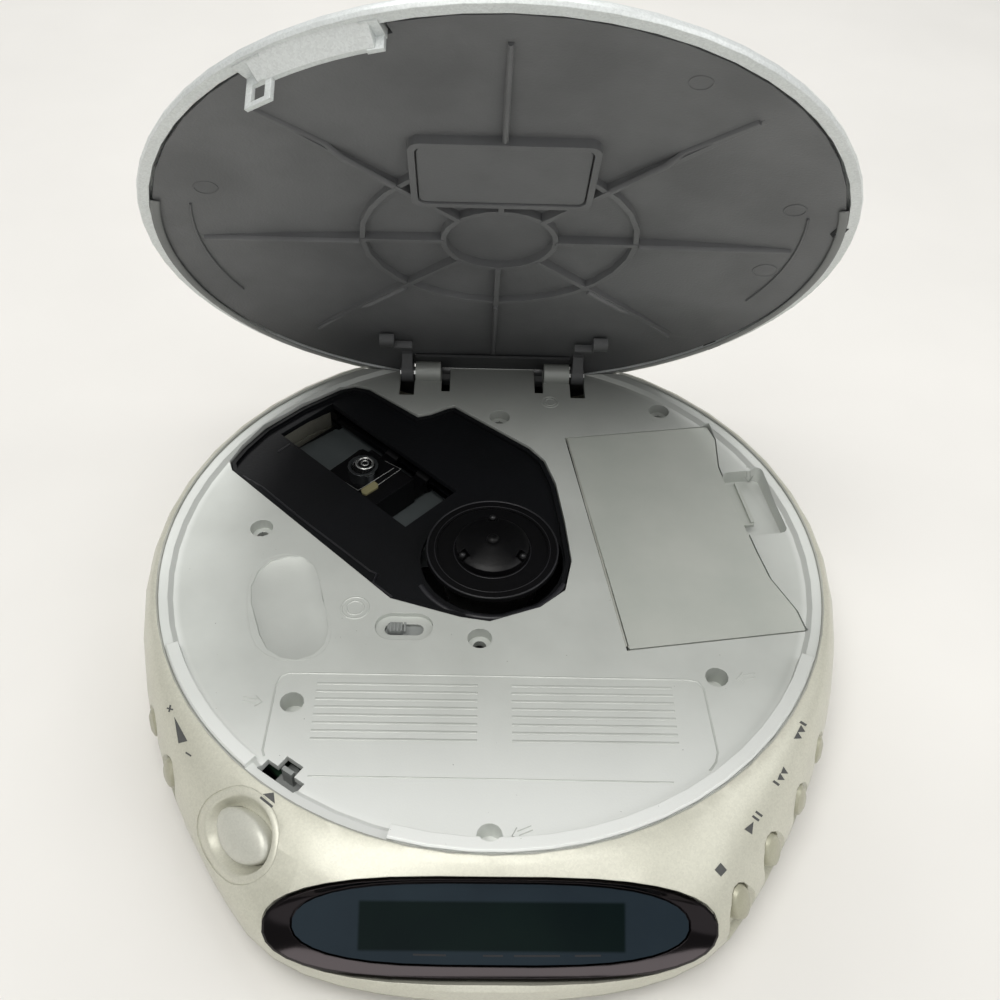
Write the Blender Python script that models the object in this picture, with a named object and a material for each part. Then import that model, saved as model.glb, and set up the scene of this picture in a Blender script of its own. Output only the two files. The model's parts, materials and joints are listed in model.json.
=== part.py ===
"""Portable disc player with a hinged round lid, shown open.

Metres, +Z up. The origin is the middle of the footprint, at foot level, with the display toward -Y.
Everything hangs on the empty 'player', whose origin is the spindle at the height of the disc well's rim.
The lid's pieces are modelled closed and hang on the empty 'lid_axis', which turns them open.
"""
import math

import bmesh
import bpy
from mathutils import Matrix, Vector

MM = 0.001

# Fits
GAP = 0.3 * MM
RUN_GAP = 0.5 * MM
OVERRUN = 1.0 * MM
SINK = 0.2 * MM

# Disc and disc well
DISC_R = 60.0 * MM
WELL_PLAY = 1.5 * MM
WELL_R = DISC_R + WELL_PLAY
WELL_DEPTH = 2.0 * MM
RIM_WIDTH = 2.6 * MM
RIM_LOW = 0.9 * MM
DECK_R = WELL_R + RIM_WIDTH
DECK_WALL = 1.4 * MM
FLOOR_Z = -WELL_DEPTH
DECK_UNDER = FLOOR_Z - DECK_WALL

# Battery cells and their tray
CELL_L = 49.5 * MM
CELL_R = 7.1 * MM
CELL_NUB_L = 1.0 * MM
CELL_NUB_R = 2.6 * MM
CELL_EDGE = 0.45 * MM
CELL_SPACE = 0.7 * MM
CELL_COUNT = 2
TRAY_WALL = 1.0 * MM
TRAY_END = 1.6 * MM
SHELL_WALL = 1.6 * MM

# Cabinet: its height stands the cells on the floor and keeps them under the deck
FOOT_H = 1.0 * MM
BASE_H = FOOT_H + SHELL_WALL + TRAY_WALL + CELL_R * 2 + GAP * 3 - DECK_UNDER
CABINET_EDGE_Z = -0.4 * MM
FLANK_OUT = 3.9 * MM
WIDEST_R = DECK_R + FLANK_OUT
WIDEST_Z = -12.3 * MM
SPLIT_Z = -15.8 * MM
CABINET_WALL = 1.8 * MM
FLANK_WALL = 2.7 * MM
LEDGE_REACH = 1.2 * MM
LEDGE_H = 1.4 * MM
BOTTOM_INSET = 5.0 * MM
BOTTOM_Z = -BASE_H + FOOT_H
SHELL_FLOOR = BOTTOM_Z + SHELL_WALL
BACK_SET = 0.3 * MM
BACK_Y = WIDEST_R - BACK_SET
ROOM_SHARES = (0.56, 0.7, 0.85, 1.0)

# Widest outline as degrees from the front and shares of WIDEST_R, and how square its shoulder is there
OUTLINE_SHARES = ((0, 1.186), (9, 1.193), (16, 1.203), (22, 1.208), (27, 1.198), (33, 1.155),
                  (40, 1.108), (49, 1.066), (58, 1.034), (68, 1.012), (78, 1.0), (90, 1.0),
                  (110, 1.0), (135, 0.998), (158, 0.996), (180, 0.9956))
SHOULDER_SHARES = ((0, 1.15), (9, 1.2), (16, 1.34), (22, 1.52), (28, 1.55), (36, 1.4), (50, 1.7),
                   (66, 2.0), (180, 2.0))

HALVINGS = 40
FLANK_STEP = 0.01

# Lid
LID_LAP = 1.3 * MM
LID_R = DECK_R + LID_LAP
LID_SIDE_SHARE = 0.975
LID_RIM_Z = 0.35 * MM
LID_RISE = 6.65 * MM
LID_SHOULDER_RISE = 4.05 * MM
LID_SHOULDER_SHARE = 0.93
LID_WALL = 1.2 * MM
LID_BAND = 2.1 * MM
LID_OPEN = math.radians(60.5)
HINGE_SET = 8.1 * MM
HINGE_Y = DECK_R - HINGE_SET
HINGE_Z = -0.8 * MM
PIN_R = 1.1 * MM
KNUCKLE_R = 2.4 * MM
ARM_IN = 12.0 * MM
ARM_OUT = 17.8 * MM
WEB_SHARES = ((-1.9, 1.0), (-0.6, -0.7), (0.9, 0), (0.9, 1.2), (-1.9, 1.35))
LUG_IN = 18.3 * MM
LUG_OUT = 21.1 * MM
NOTCH_HALF = 18.4 * MM
NOTCH_AHEAD = 3.4 * MM
TONGUE_AHEAD = 0.7 * MM
BRIDGE_BEHIND = 2.6 * MM
LID_NOTCH_Y = HINGE_Y - NOTCH_AHEAD
LID_TONGUE_Y = HINGE_Y - TONGUE_AHEAD
LID_BRIDGE_Y = HINGE_Y + BRIDGE_BEHIND
BRIDGE_DIP = 2.4 * MM
TONGUE_HALF = 11.2 * MM
RECESS_HALF = 35.0 * MM
TONGUE_BEHIND = 5.0 * MM
TONGUE_BACK = HINGE_Y + TONGUE_BEHIND

# Lid liner
LINER_WALL = 1.0 * MM
LINER_CROWN = 4.0 * MM
RIB_Z = 2.1 * MM
RIB_W = 1.0 * MM
RIB_END_SET = 8.8 * MM
RIB_END_R = LID_R - RIB_END_SET
RING_IN_R = 10.4 * MM
RING_OUT_R = 25.3 * MM
RIB_COUNT = 8
PLATE_W = 31.0 * MM
PLATE_D = 18.8 * MM
PLATE_Y = -22.5 * MM
PLATE_Z = 1.6 * MM
PLATE_T = 1.3 * MM
PLATE_FRAME = 1.1 * MM
PLATE_ROUND = 2.0 * MM
CROWN_SHARES = (0.36, 0.68, LID_SHOULDER_SHARE)
LINER_STEPS = 48
SKIRT_SET = 4.2 * MM
SKIRT_R = LID_R - SKIRT_SET
SKIRT_T = 0.8 * MM
SKIRT_Z = -1.6 * MM
SKIRT_STEPS = 6

# Latch tab, its slot and the open button; the angles run from the front toward the left
LATCH_ANGLE = math.radians(-34.8)
LATCH_SET = 4.3 * MM
LATCH_R = LID_R - LATCH_SET
LATCH_W = 5.1 * MM
LATCH_Z = -4.9 * MM
LATCH_HOLE = 2.6 * MM
LATCH_HOLE_Z = -2.8 * MM
TAB2_ANGLE = math.radians(-17.2)
TAB2_W = 2.7 * MM
TAB2_Z = -1.9 * MM
SLOT_W = 8.0 * MM
SLOT_D = 2.6 * MM
SLOT_SQUARE = 3.6 * MM
OPEN_BEYOND = 4.2 * MM
OPEN_R = WIDEST_R + OPEN_BEYOND
OPEN_W = 8.4 * MM
OPEN_L = 10.7 * MM
OPEN_RISE = 1.6 * MM
SCOOP_W = 11.8 * MM
SCOOP_L = 14.6 * MM
SCOOP_DEPTH = 1.9 * MM
SLIDER_W = 4.4 * MM
SLIDER_T = 1.2 * MM
SLIDER_Z = -7.0 * MM

# Keys on the flanks: name, degrees from the front
FLANK_KEYS = (("next_key", 56.6), ("previous_key", 47.6), ("play_key", 39.0), ("stop_key", 31.0),
              ("volume_up_key", -60.0), ("volume_down_key", -51.1))
KEY_Z = -9.8 * MM
KEY_W = 4.8 * MM
KEY_L = 6.4 * MM
KEY_RISE = 0.5 * MM
KEY_TRAVEL = 0.5 * MM
KEY_FLANGE_T = 0.8 * MM
KEY_SCOOP_W = 7.2 * MM
KEY_SCOOP_L = 12.6 * MM
KEY_SCOOP_DEPTH = 1.5 * MM
KEY_SCOOP_DROP = 2.5 * MM

# Display on the front slope
SLOPE = math.radians(35.3)
SLOPE_SET = 7.548 * MM
SLOPE_Y = SLOPE_SET - OUTLINE_SHARES[0][1] * WIDEST_R
SLOPE_Z = -7.2 * MM
BEZEL_W = 71.0 * MM
BEZEL_H = 15.4 * MM
BEZEL_STEPS = 36
BEZEL_SIDE_SHARE = 0.6
BEZEL_TOP_SHARE = 0.9
BEZEL_BAND = 1.7 * MM
BEZEL_END = 4.6 * MM
SEAT_UP = 0.5 * MM
BEZEL_T = 2.4 * MM
BEZEL_LIP = 0.9 * MM
LENS_T = 1.0 * MM
LENS_DROP = 0.8 * MM
LCD_W = 46.0 * MM
LCD_H = 8.6 * MM
LCD_T = 2.4 * MM
DISPLAY_DEPTH = 0.5 * MM

# Battery door: its front left corner, turn, and the corners of its outline in shares of width and length
DOOR_X = 25.3 * MM
DOOR_Y = -22.8 * MM
DOOR_TURN = math.radians(8.5)
DOOR_W = 34.0 * MM
DOOR_MARGIN = 8.9 * MM
DOOR_L = CELL_L + DOOR_MARGIN
DOOR_OUTLINE_SHARES = ((0, 0), (1, 0), (0.995, 0.085), (0.924, 0.229), (0.912, 0.35), (0.9, 0.67),
                       (0.9, 0.775), (0.955, 0.925), (0.94, 1), (0, 1))
DOOR_EDGE_GAP = 0.6 * MM
DOOR_AXIS_IN = 1.1 * MM
DOOR_AXIS_DOWN = 1.1 * MM
DOOR_PIN_R = 0.6 * MM
DOOR_PIN_L = 1.4 * MM
DOOR_BOSS = 1.8 * MM
DOOR_SWING_R = 2.1 * MM
CATCH_V = 34.2 * MM
CATCH_W = 12.0 * MM
CATCH_REACH = 2.6 * MM
RECESS_V = 34.2 * MM
RECESS_L = 18.6 * MM
RECESS_W = 8.6 * MM
RECESS_DEPTH = 3.2 * MM

# Batteries and their tray, along the door
CONTACT_T = 0.5 * MM
CONTACT_R = 4.6 * MM
SPRING_R = 3.6 * MM
SPRING_WIRE = 0.35 * MM
SPRING_SIDES = 5
SPRING_TURNS = 2
SPRING_TAPER = 0.4

# Mechanism: the sled runs from the spindle toward the rear left
SLED_TURN = math.radians(136.4)
LENS_U = 38.4 * MM
POCKET_RIM_DROP = 0.4 * MM
COVER_Z = -3.2 * MM
COVER_T = 1.2 * MM
COVER_RIM_W = 0.9 * MM
COVER_SKIRT_Z = -6.2 * MM
WINDOW_U0 = 18.5 * MM
WINDOW_U1 = 58.5 * MM
WINDOW_V0 = -8.6 * MM
WINDOW_V1 = 6.2 * MM
TABLE_WELL_R = 14.2 * MM
TABLE_R = 13.15 * MM
TABLE_TOP = 0.0 * MM
TABLE_T = 1.3 * MM
TABLE_RIM = 2.2 * MM
HUB_R = 7.2 * MM
HUB_H = 1.9 * MM
HUB_SEAT = 0.4 * MM
BALL_R = 0.8 * MM
BALL_COUNT = 3
BALL_PROUD = 0.35 * MM
SHAFT_R = 0.9 * MM
SHAFT_TIP = 2.9 * MM
MOTOR_R = 9.6 * MM
MOTOR_TOP = -3.0 * MM
MOTOR_H = 9.0 * MM
FRAME_T = 1.4 * MM
FRAME_Z = -12.6 * MM
FRAME_U0 = -11.5 * MM
FRAME_U1 = 61.0 * MM
FRAME_V0 = -20.6 * MM
FRAME_V1 = 12.8 * MM
FRAME_CORNER = 9.0 * MM
ROD_Z = -10.0 * MM
MAIN_ROD_R = 1.5 * MM
MAIN_ROD_V = -11.4 * MM
SIDE_ROD_R = 1.0 * MM
SIDE_ROD_V = 10.6 * MM
ROD_U0 = 11.0 * MM
ROD_U1 = 60.0 * MM
ROD_POST = 2.4 * MM
ROD_POST_W = 3.2 * MM
SLED_L = 19.0 * MM
SLED_W = 13.0 * MM
SLED_TOP = -5.0 * MM
SLED_H = 7.0 * MM
BEARING_R = 2.3 * MM
BEARING_L = 3.6 * MM
LENS_R = 2.35 * MM
LENS_HOLD_R = 3.3 * MM
LENS_TOP = -3.1 * MM
SCREW_R = 1.1 * MM
SCREW_V = -17.3 * MM
SCREW_U1 = 52.0 * MM
SLED_MOTOR_R = 3.0 * MM
SLED_MOTOR_L = 10.5 * MM
SLED_MOTOR_U = 0.5 * MM
DAMPER_R = 2.8 * MM
DAMPER_WAIST_SHARE = 0.7
SLED_IN = 14.4 * MM
SLED_OUT = 15.4 * MM
SLED_FRONT_SHARE = 0.4

# Mechanism pocket: its outline in the deck, in shares of the disc radius
POCKET_OUTLINE_SHARES = ((-0.933, 0.425), (-0.9, 0.505), (-0.836, 0.614), (-0.715, 0.742),
                         (-0.583, 0.847),
                         (-0.528, 0.866), (-0.47, 0.85), (-0.278, 0.697), (-0.233, 0.71), (-0.172, 0.747),
                         (-0.142, 0.757), (0.138, 0.532), (0.19, 0.463), (0.225, 0.345), (0.248, 0.16),
                         (0.262, -0.02), (0.235, -0.148), (0.152, -0.22), (-0.007, -0.28), (-0.1, -0.265),
                         (-0.323, -0.193), (-0.917, 0.38))

# Deck features; places are shares of the disc radius
DENT_SHARES = ((-0.67, -0.023), (-0.62, -0.026), (-0.58, -0.062), (-0.555, -0.125), (-0.54, -0.18),
               (-0.522, -0.245), (-0.505, -0.32), (-0.512, -0.378), (-0.541, -0.418), (-0.588, -0.438),
               (-0.637, -0.43), (-0.682, -0.4), (-0.714, -0.345), (-0.735, -0.285), (-0.758, -0.22),
               (-0.768, -0.155), (-0.756, -0.09), (-0.722, -0.042))
DENT_LEVEL_SHARES = ((0.985, 0.16), (0.9, 0.62), (0.74, 0.9), (0.4, 1.0))
DENT_DEPTH = 2.6 * MM
SCREW_PLACE_SHARES = ((-0.772, 0.102), (-0.038, -0.347), (0.028, 0.695), (0.633, 0.748))
SCREW_HEAD_R = 1.7 * MM
SCREW_HEAD_H = 1.1 * MM
SCREW_SHANK_R = 0.9 * MM
SCREW_L = 6.0 * MM
SCREW_WELL_R = 2.3 * MM
SCREW_WELL_D = 1.3 * MM
SCREW_BOSS_R = 3.0 * MM
SCREW_BOSS_D = 2.4 * MM
SCREW_SLOT_R = 0.95 * MM
SCREW_SLOT_D = 0.5 * MM
SUNK_PLACE_SHARES = ((-0.582, -0.59), (0.675, -0.48), (-0.007, -1.002))
SUNK_R = 2.1 * MM
SUNK_DEPTH = 4.2 * MM
HOLD_X = -16.4 * MM
HOLD_Y = -18.3 * MM
HOLD_L = 10.8 * MM
HOLD_W = 6.2 * MM
HOLD_DEPTH = 1.0 * MM
HOLD_SLOT_L = 7.2 * MM
HOLD_SLOT_W = 2.6 * MM
HOLD_KNOB_L = 3.0 * MM
HOLD_KNOB_W = 2.0 * MM
HOLD_RISE = 0.2 * MM
HOLD_TRAVEL = 3.2 * MM
REAR_SLOT_IN = 9.8 * MM
REAR_SLOT_OUT = 11.8 * MM
REAR_SLOT_AHEAD = 5.6 * MM
LUG_NOTCH_AHEAD = 7.1 * MM
REAR_SLOT_Y = HINGE_Y - REAR_SLOT_AHEAD
LUG_NOTCH_Y = HINGE_Y - LUG_NOTCH_AHEAD

# Raised arcs of the rim: start and end in degrees, counted from the front toward the right
RIM_ARCS = ((-67.0, -39.6), (-15.1, 66.4))
RIM_ARC_STEPS = 14

# Boards, jacks and feet
BOARD_T = 1.2 * MM
BOARD_Z = -7.5 * MM
BOARD_OUTLINE_SHARES = ((-0.95, 0.02), (-0.93, -0.33), (-0.8, -0.6), (-0.56, -0.82), (-0.46, -0.98),
                        (0.5, -0.98), (0.72, -0.72), (0.86, -0.5), (0.3, -0.46), (-0.1, -0.42),
                        (-0.28, -0.36),
                        (-0.8, -0.02))
BOARD_POST_SHARES = ((-0.84, -0.2), (-0.3, -0.7), (0.62, -0.62))
POST_R = 2.4 * MM
JACK_ANGLES = (("headphone_jack", -84.0), ("dc_jack", -97.0))
JACK_BORE_R = 1.8 * MM
JACK_Z = -12.4 * MM
JACK_W = 5.0 * MM
JACK_L = 9.0 * MM
JACK_NOSE_R = 2.4 * MM
JACK_SET = 1.0 * MM
FOOT_R = 4.2 * MM
FOOT_SINK = 0.5 * MM
FOOT_SHARES = ((0.58, -0.8), (0.6, 0.62))

# Steps round turned pieces
ROUND = 60
FRONT_REACH = 66
FRONT_STEPS = 32
REAR_STEPS = 14
ROUND_MID = 28
ROUND_SMALL = 14
ROUND_TINY = 8
WELD_REACH = 0.002 * MM
FLAT_LIMIT = math.radians(0.02)

SPINDLE_Y = (OUTLINE_SHARES[0][1] * WIDEST_R - BACK_Y) / 2

# Mouldings pierced by so many holes that only the manifold solver keeps them closed
PIERCED = ("cabinet", "bottom_shell", "deck", "chuck_hub")

# Colours as sRGB hex, with roughness and metallic
FINISHES = {
    "cream": ("d3d3c4", 0.42, 0.15),
    "silver": ("c4c8c5", 0.38, 0.25),
    "grey": ("4c4d4e", 0.55, 0.0),
    "black": ("0d0d10", 0.35, 0.0),
    "chrome": ("6d6a6c", 0.12, 1.0),
    "steel": ("b4b6b8", 0.25, 1.0),
    "rubber": ("1b1b1c", 0.8, 0.0),
    "board": ("1f5a3a", 0.5, 0.0),
    "glass": ("1b2733", 0.08, 0.0),
    "cell": ("2f3438", 0.3, 0.5),
}


def linear(channel):
    """One sRGB channel, 0 to 1, as a linear value."""
    if channel <= 0.04045:
        return channel / 12.92
    return ((channel + 0.055) / 1.055) ** 2.4


def finish(name, kind):
    """A piece's own material."""
    code, roughness, metallic = FINISHES[kind]
    material = bpy.data.materials.new(name + "_finish")
    material.use_nodes = True
    shader = material.node_tree.nodes["Principled BSDF"]
    rgb = [linear(int(code[i:i + 2], 16) / 255) for i in (0, 2, 4)]
    shader.inputs["Base Color"].default_value = (*rgb, 1)
    shader.inputs["Roughness"].default_value = roughness
    shader.inputs["Metallic"].default_value = metallic
    return material


def empty(name, place, parent=None, turn=None):
    """An axis or datum that pieces hang on."""
    holder = bpy.data.objects.new(name, None)
    bpy.context.scene.collection.objects.link(holder)
    holder.parent = parent
    frame = Matrix.Translation(Vector(place))
    holder.matrix_basis = frame if turn is None else frame @ turn
    return holder


def outward_mesh(name, shape):
    """A mesh with flat faces that point out."""
    bmesh.ops.recalc_face_normals(shape, faces=shape.faces)
    bmesh.ops.connect_verts_nonplanar(shape, angle_limit=FLAT_LIMIT, faces=shape.faces)
    mesh = bpy.data.meshes.new(name)
    shape.to_mesh(mesh)
    shape.free()
    return mesh


def solid(name, kind, shape, parent):
    """A piece, given in its parent's frame."""
    mesh = outward_mesh(name, shape)
    mesh.shade_smooth()
    mesh.set_sharp_from_angle(angle=math.radians(35))
    mesh.materials.append(finish(name, kind))
    piece = bpy.data.objects.new(name, mesh)
    bpy.context.scene.collection.objects.link(piece)
    piece.parent = parent
    return piece


def helper(name, shape, parent):
    """A hidden shape that a Boolean uses."""
    tool = bpy.data.objects.new(name, outward_mesh(name, shape))
    bpy.context.scene.collection.objects.link(tool)
    tool.parent = parent
    tool.hide_render = True
    tool.display_type = "WIRE"
    return tool


def boolean(piece, tool, operation):
    step = piece.modifiers.new(tool.name, "BOOLEAN")
    step.operation = operation
    step.solver = "MANIFOLD" if piece.name in PIERCED else "EXACT"
    step.object = tool


def cut(piece, label, shape, parent):
    """Takes a shape away from a piece."""
    boolean(piece, helper(piece.name + "_cut_" + label, shape, parent), "DIFFERENCE")


def add(piece, label, shape, parent):
    """Moulds a shape onto a piece."""
    boolean(piece, helper(piece.name + "_add_" + label, shape, parent), "UNION")


def share_at(table, degrees):
    """A share read from a table of (degrees, share), with smooth steps between its rows."""
    for (low, first), (high, last) in zip(table, table[1:]):
        if degrees <= high:
            t = (degrees - low) / (high - low)
            t = t * t * (3 - 2 * t) if table is SHOULDER_SHARES else t
            return first + (last - first) * t
    return table[-1][1]


def widest(angle):
    """Radius of the widest outline at an angle from the front."""
    return WIDEST_R * share_at(OUTLINE_SHARES, abs(math.degrees(angle)))


def radial(angle, r, z=0):
    """A point at an angle from the front, counted toward the right."""
    return Vector((r * math.sin(angle), -r * math.cos(angle), z))


def shoulder(angle, t, inset=0):
    """A point of the cabinet's flank: t runs from 0 at the top edge to 1 at the widest level."""
    square = 2 / share_at(SHOULDER_SHARES, abs(math.degrees(angle)))
    turn = t * math.pi / 2
    reach = math.sin(turn) ** square
    height = math.cos(turn) ** square
    r = DECK_R + GAP + (widest(angle) - DECK_R - GAP) * reach - inset * reach
    z = WIDEST_Z + (CABINET_EDGE_Z - WIDEST_Z) * height - inset * height
    return radial(angle, r, z)


def flank_share(angle, z, r=None):
    """How far down the flank a level or a radius lies, as a share."""
    low, high = 0.0, 1.0
    for _ in range(HALVINGS):
        t = (low + high) / 2
        p = shoulder(angle, t)
        past = p.xy.length > r if r is not None else p.z < z
        if past:
            high = t
        else:
            low = t
    return (low + high) / 2


def flank_frame(angle, z, r=None):
    """A frame on the flank at a level or a radius: Z out of the surface, Y up it, X along it."""
    t = flank_share(angle, z, r)
    step = FLANK_STEP
    up = (shoulder(angle, t - step) - shoulder(angle, t + step)).normalized()
    along = (shoulder(angle + step, t) - shoulder(angle - step, t)).normalized()
    out = along.cross(up).normalized()
    along = up.cross(out)
    turn = Matrix((along, up, out)).transposed().to_4x4()
    return shoulder(angle, t), turn


def skin(rings, closed=False):
    """A solid through rings of points; the ends are filled, or joined where it is closed on itself."""
    shape = bmesh.new()
    rows = [[shape.verts.new(p) for p in ring] for ring in rings]
    count = len(rows[0])
    pairs = list(zip(rows, rows[1:]))
    if closed:
        pairs.append((rows[-1], rows[0]))
    for one, two in pairs:
        for i in range(count):
            j = (i + 1) % count
            shape.faces.new((one[i], one[j], two[j], two[i]))
    if not closed:
        shape.faces.new(rows[0])
        shape.faces.new(rows[-1])
    return shape


def turned(profile, steps, frame=None):
    """A profile of (r, z) points turned about Z; points at r = 0 close the ends on the axis."""
    shape = bmesh.new()
    rows = []
    for r, z in profile:
        if r <= 0:
            rows.append([shape.verts.new((0, 0, z))] * steps)
            continue
        row = []
        for i in range(steps):
            angle = 2 * math.pi * i / steps
            row.append(shape.verts.new((r * math.cos(angle), r * math.sin(angle), z)))
        rows.append(row)
    for one, two in zip(rows, rows[1:] + rows[:1]):
        for i in range(steps):
            j = (i + 1) % steps
            corners = []
            for vert in (one[i], one[j], two[j], two[i]):
                if vert not in corners:
                    corners.append(vert)
            if len(corners) > 2:
                shape.faces.new(corners)
    if frame is not None:
        bmesh.ops.transform(shape, matrix=frame, verts=shape.verts)
    return shape


def disc(r, z0, z1, steps=ROUND_SMALL, frame=None):
    """A round bar between two levels."""
    return turned([(0, z0), (r, z0), (r, z1), (0, z1)], steps, frame)


def ring(r0, r1, z0, z1, steps=ROUND_MID, frame=None):
    """A round tube between two levels."""
    return turned([(r0, z0), (r1, z0), (r1, z1), (r0, z1)], steps, frame)


def prism(outline, z0, z1, frame=None):
    """An outline in X and Y raised between two levels."""
    shape = skin([[(x, y, z0) for x, y in outline], [(x, y, z1) for x, y in outline]])
    if frame is not None:
        bmesh.ops.transform(shape, matrix=frame, verts=shape.verts)
    return shape


def block(x0, x1, y0, y1, z0, z1, frame=None):
    return prism([(x0, y0), (x1, y0), (x1, y1), (x0, y1)], z0, z1, frame)


def side_prism(outline, x0, x1):
    """An outline in Y and Z raised along X."""
    return skin([[(x0, y, z) for y, z in outline], [(x1, y, z) for y, z in outline]])


def rounded(width, height, radius, steps=6):
    """A rectangle with round corners about the origin."""
    points = []
    for k, (sx, sy) in enumerate(((1, 1), (-1, 1), (-1, -1), (1, -1))):
        for i in range(steps + 1):
            angle = (k + i / steps) * math.pi / 2
            points.append((sx * (width / 2 - radius) + radius * math.cos(angle),
                           sy * (height / 2 - radius) + radius * math.sin(angle)))
    return points


def oval(width, length, steps=ROUND_SMALL):
    return [(width / 2 * math.cos(2 * math.pi * i / steps),
             length / 2 * math.sin(2 * math.pi * i / steps))
            for i in range(steps)]


def bowl(width, length, depth, over, steps=ROUND_SMALL, rings=4):
    """An oval bowl below Z = 0; a straight collar of height 'over' stands on it, if there is one."""
    rows = [[(x, y, over) for x, y in oval(width, length, steps)]] if over > 0 else []
    for k in range(rings):
        turn = k / rings * math.pi / 2
        rows.append([(x * math.cos(turn), y * math.cos(turn), -depth * math.sin(turn))
                     for x, y in oval(width, length, steps)])
    return skin(rows)


def dome(width, length, foot, rise, steps=ROUND_SMALL, rings=3):
    """An oval cap from z = foot up to a soft top at z = rise."""
    rows = [[(x, y, foot) for x, y in oval(width, length, steps)],
            [(x, y, 0) for x, y in oval(width, length, steps)]]
    for k in range(1, rings + 1):
        turn = k / (rings + 1) * math.pi / 2
        rows.append([(x * math.cos(turn) ** 0.5, y * math.cos(turn) ** 0.5, rise * math.sin(turn))
                     for x, y in oval(width, length, steps)])
    return skin(rows)


def moved(shape, frame):
    bmesh.ops.transform(shape, matrix=frame, verts=shape.verts)
    return shape


def from_shares(shares, scale):
    return [(x * scale, y * scale) for x, y in shares]


def grown(outline, by):
    """An outline, counted anticlockwise, moved outward by a distance."""
    count = len(outline)
    points = []
    for i in range(count):
        before, here, after = (Vector(outline[(i + k) % count]) for k in (-1, 0, 1))
        a = (here - before).normalized()
        b = (after - here).normalized()
        normal = Vector((a.y + b.y, -a.x - b.x)).normalized()
        spread = max(normal.dot(Vector((a.y, -a.x))), 0.5)
        points.append(tuple(here + normal * by / spread))
    return points


def anticlockwise(outline):
    area = sum(a[0] * b[1] - b[0] * a[1] for a, b in zip(outline, outline[1:] + outline[:1]))
    return outline if area > 0 else outline[::-1]


def about(x, y, turn=0.0, z=0.0):
    """A frame at a place, turned about Z."""
    return Matrix.Translation((x, y, z)) @ Matrix.Rotation(turn, 4, "Z")


ALONG_X = Matrix.Rotation(math.pi / 2, 4, "Y")
ALONG_Y = Matrix.Rotation(-math.pi / 2, 4, "X")
SLED = Matrix.Rotation(SLED_TURN, 4, "Z")
DOOR = about(DOOR_X, DOOR_Y, DOOR_TURN)


def sled_rod(r, u0, u1, v, z, steps=ROUND_TINY):
    """A round bar along the sled's run."""
    return disc(r, u0, u1, steps, SLED @ Matrix.Translation((0, v, z)) @ ALONG_X)


def flank_angles():
    """The flank's corners: they lie closer together around the front, where its outline bends most."""
    front = math.radians(FRONT_REACH)
    step = (math.pi - front) / REAR_STEPS
    middle = [front * (2 * i / FRONT_STEPS - 1) for i in range(FRONT_STEPS)]
    sides = [[start + step * i for i in range(REAR_STEPS)] for start in (-math.pi, front)]
    return sides[0] + middle + sides[1]


def cabinet_rings(levels, inset=0):
    """Rings of the flank, each at its share of the way from the top edge to the widest level."""
    return [[shoulder(angle, t, inset) for angle in flank_angles()] for t in levels]


def flank_ring(z, inset):
    """A ring at the widest outline, drawn in by an inset."""
    return [radial(angle, widest(angle) - inset, z) for angle in flank_angles()]


def room_ring(z):
    """A ring inside the flank, one wall in from its surface."""
    points = []
    for angle in flank_angles():
        over = shoulder(angle, flank_share(angle, z + CABINET_WALL)).xy.length
        points.append(radial(angle, over - FLANK_WALL, z))
    return points


def plain_ring(r, z):
    return [radial(angle, r, z) for angle in flank_angles()]


def swing_profile(grow):
    """The space behind the hinge that the lid's back edge swings through, in Y and Z, drawn in by 'grow'."""
    reach = LID_R - HINGE_Y + LID_WALL + grow
    lean = Vector((math.cos(LID_OPEN), -math.sin(LID_OPEN)))
    out = Vector((math.sin(LID_OPEN), math.cos(LID_OPEN)))
    foot = Vector((HINGE_Y, HINGE_Z)) + out * (LID_RIM_Z - HINGE_Z - RUN_GAP - grow)
    top = foot - lean * (foot.y - OVERRUN) / lean.y
    low = foot + lean * (reach + RUN_GAP)
    back = BACK_Y + OVERRUN * 4
    return [(top.x, top.y), (low.x, low.y), (back, low.y), (back, top.y)]


def make_cabinet(player):
    levels = (0.0, 0.16, 0.33, 0.5, 0.68, 0.86)
    rings = [plain_ring(DECK_R + GAP - OVERRUN, CABINET_EDGE_Z)] + cabinet_rings(levels)
    rings += [flank_ring(WIDEST_Z, 0), flank_ring(SPLIT_Z + GAP / 2, 0)]
    cabinet = solid("cabinet", "cream", skin(rings), player)

    ledge_z = DECK_UNDER - GAP
    cut(cabinet, "mouth", disc(DECK_R + GAP, ledge_z, OVERRUN, ROUND), player)
    room = [plain_ring(DECK_R - LEDGE_REACH, ledge_z + OVERRUN),
            plain_ring(DECK_R - LEDGE_REACH, ledge_z - LEDGE_H)]
    room += [room_ring(WIDEST_Z * share) for share in ROOM_SHARES]
    room += [flank_ring(SPLIT_Z - OVERRUN, CABINET_WALL)]
    cavity = helper("cabinet_cut_room", skin(room), player)
    keep = side_prism(swing_profile(CABINET_WALL), -RECESS_HALF - CABINET_WALL,
                      RECESS_HALF + CABINET_WALL)
    boolean(cavity, helper("cabinet_rear_keep", keep, player), "DIFFERENCE")
    front = display_block(DISPLAY_DEPTH + BEZEL_T + CABINET_WALL)
    boolean(cavity, helper("cabinet_front_keep", front, player), "DIFFERENCE")
    boolean(cabinet, cavity, "DIFFERENCE")
    swing = side_prism(swing_profile(0), -RECESS_HALF, RECESS_HALF)
    cut(cabinet, "swing", swing, player)
    return cabinet


def display_frame():
    """The frame on the front slope: X along it, Y up it, Z out of it."""
    return Matrix.Translation((0, SLOPE_Y, SLOPE_Z)) @ Matrix.Rotation(SLOPE, 4, "X")


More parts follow.
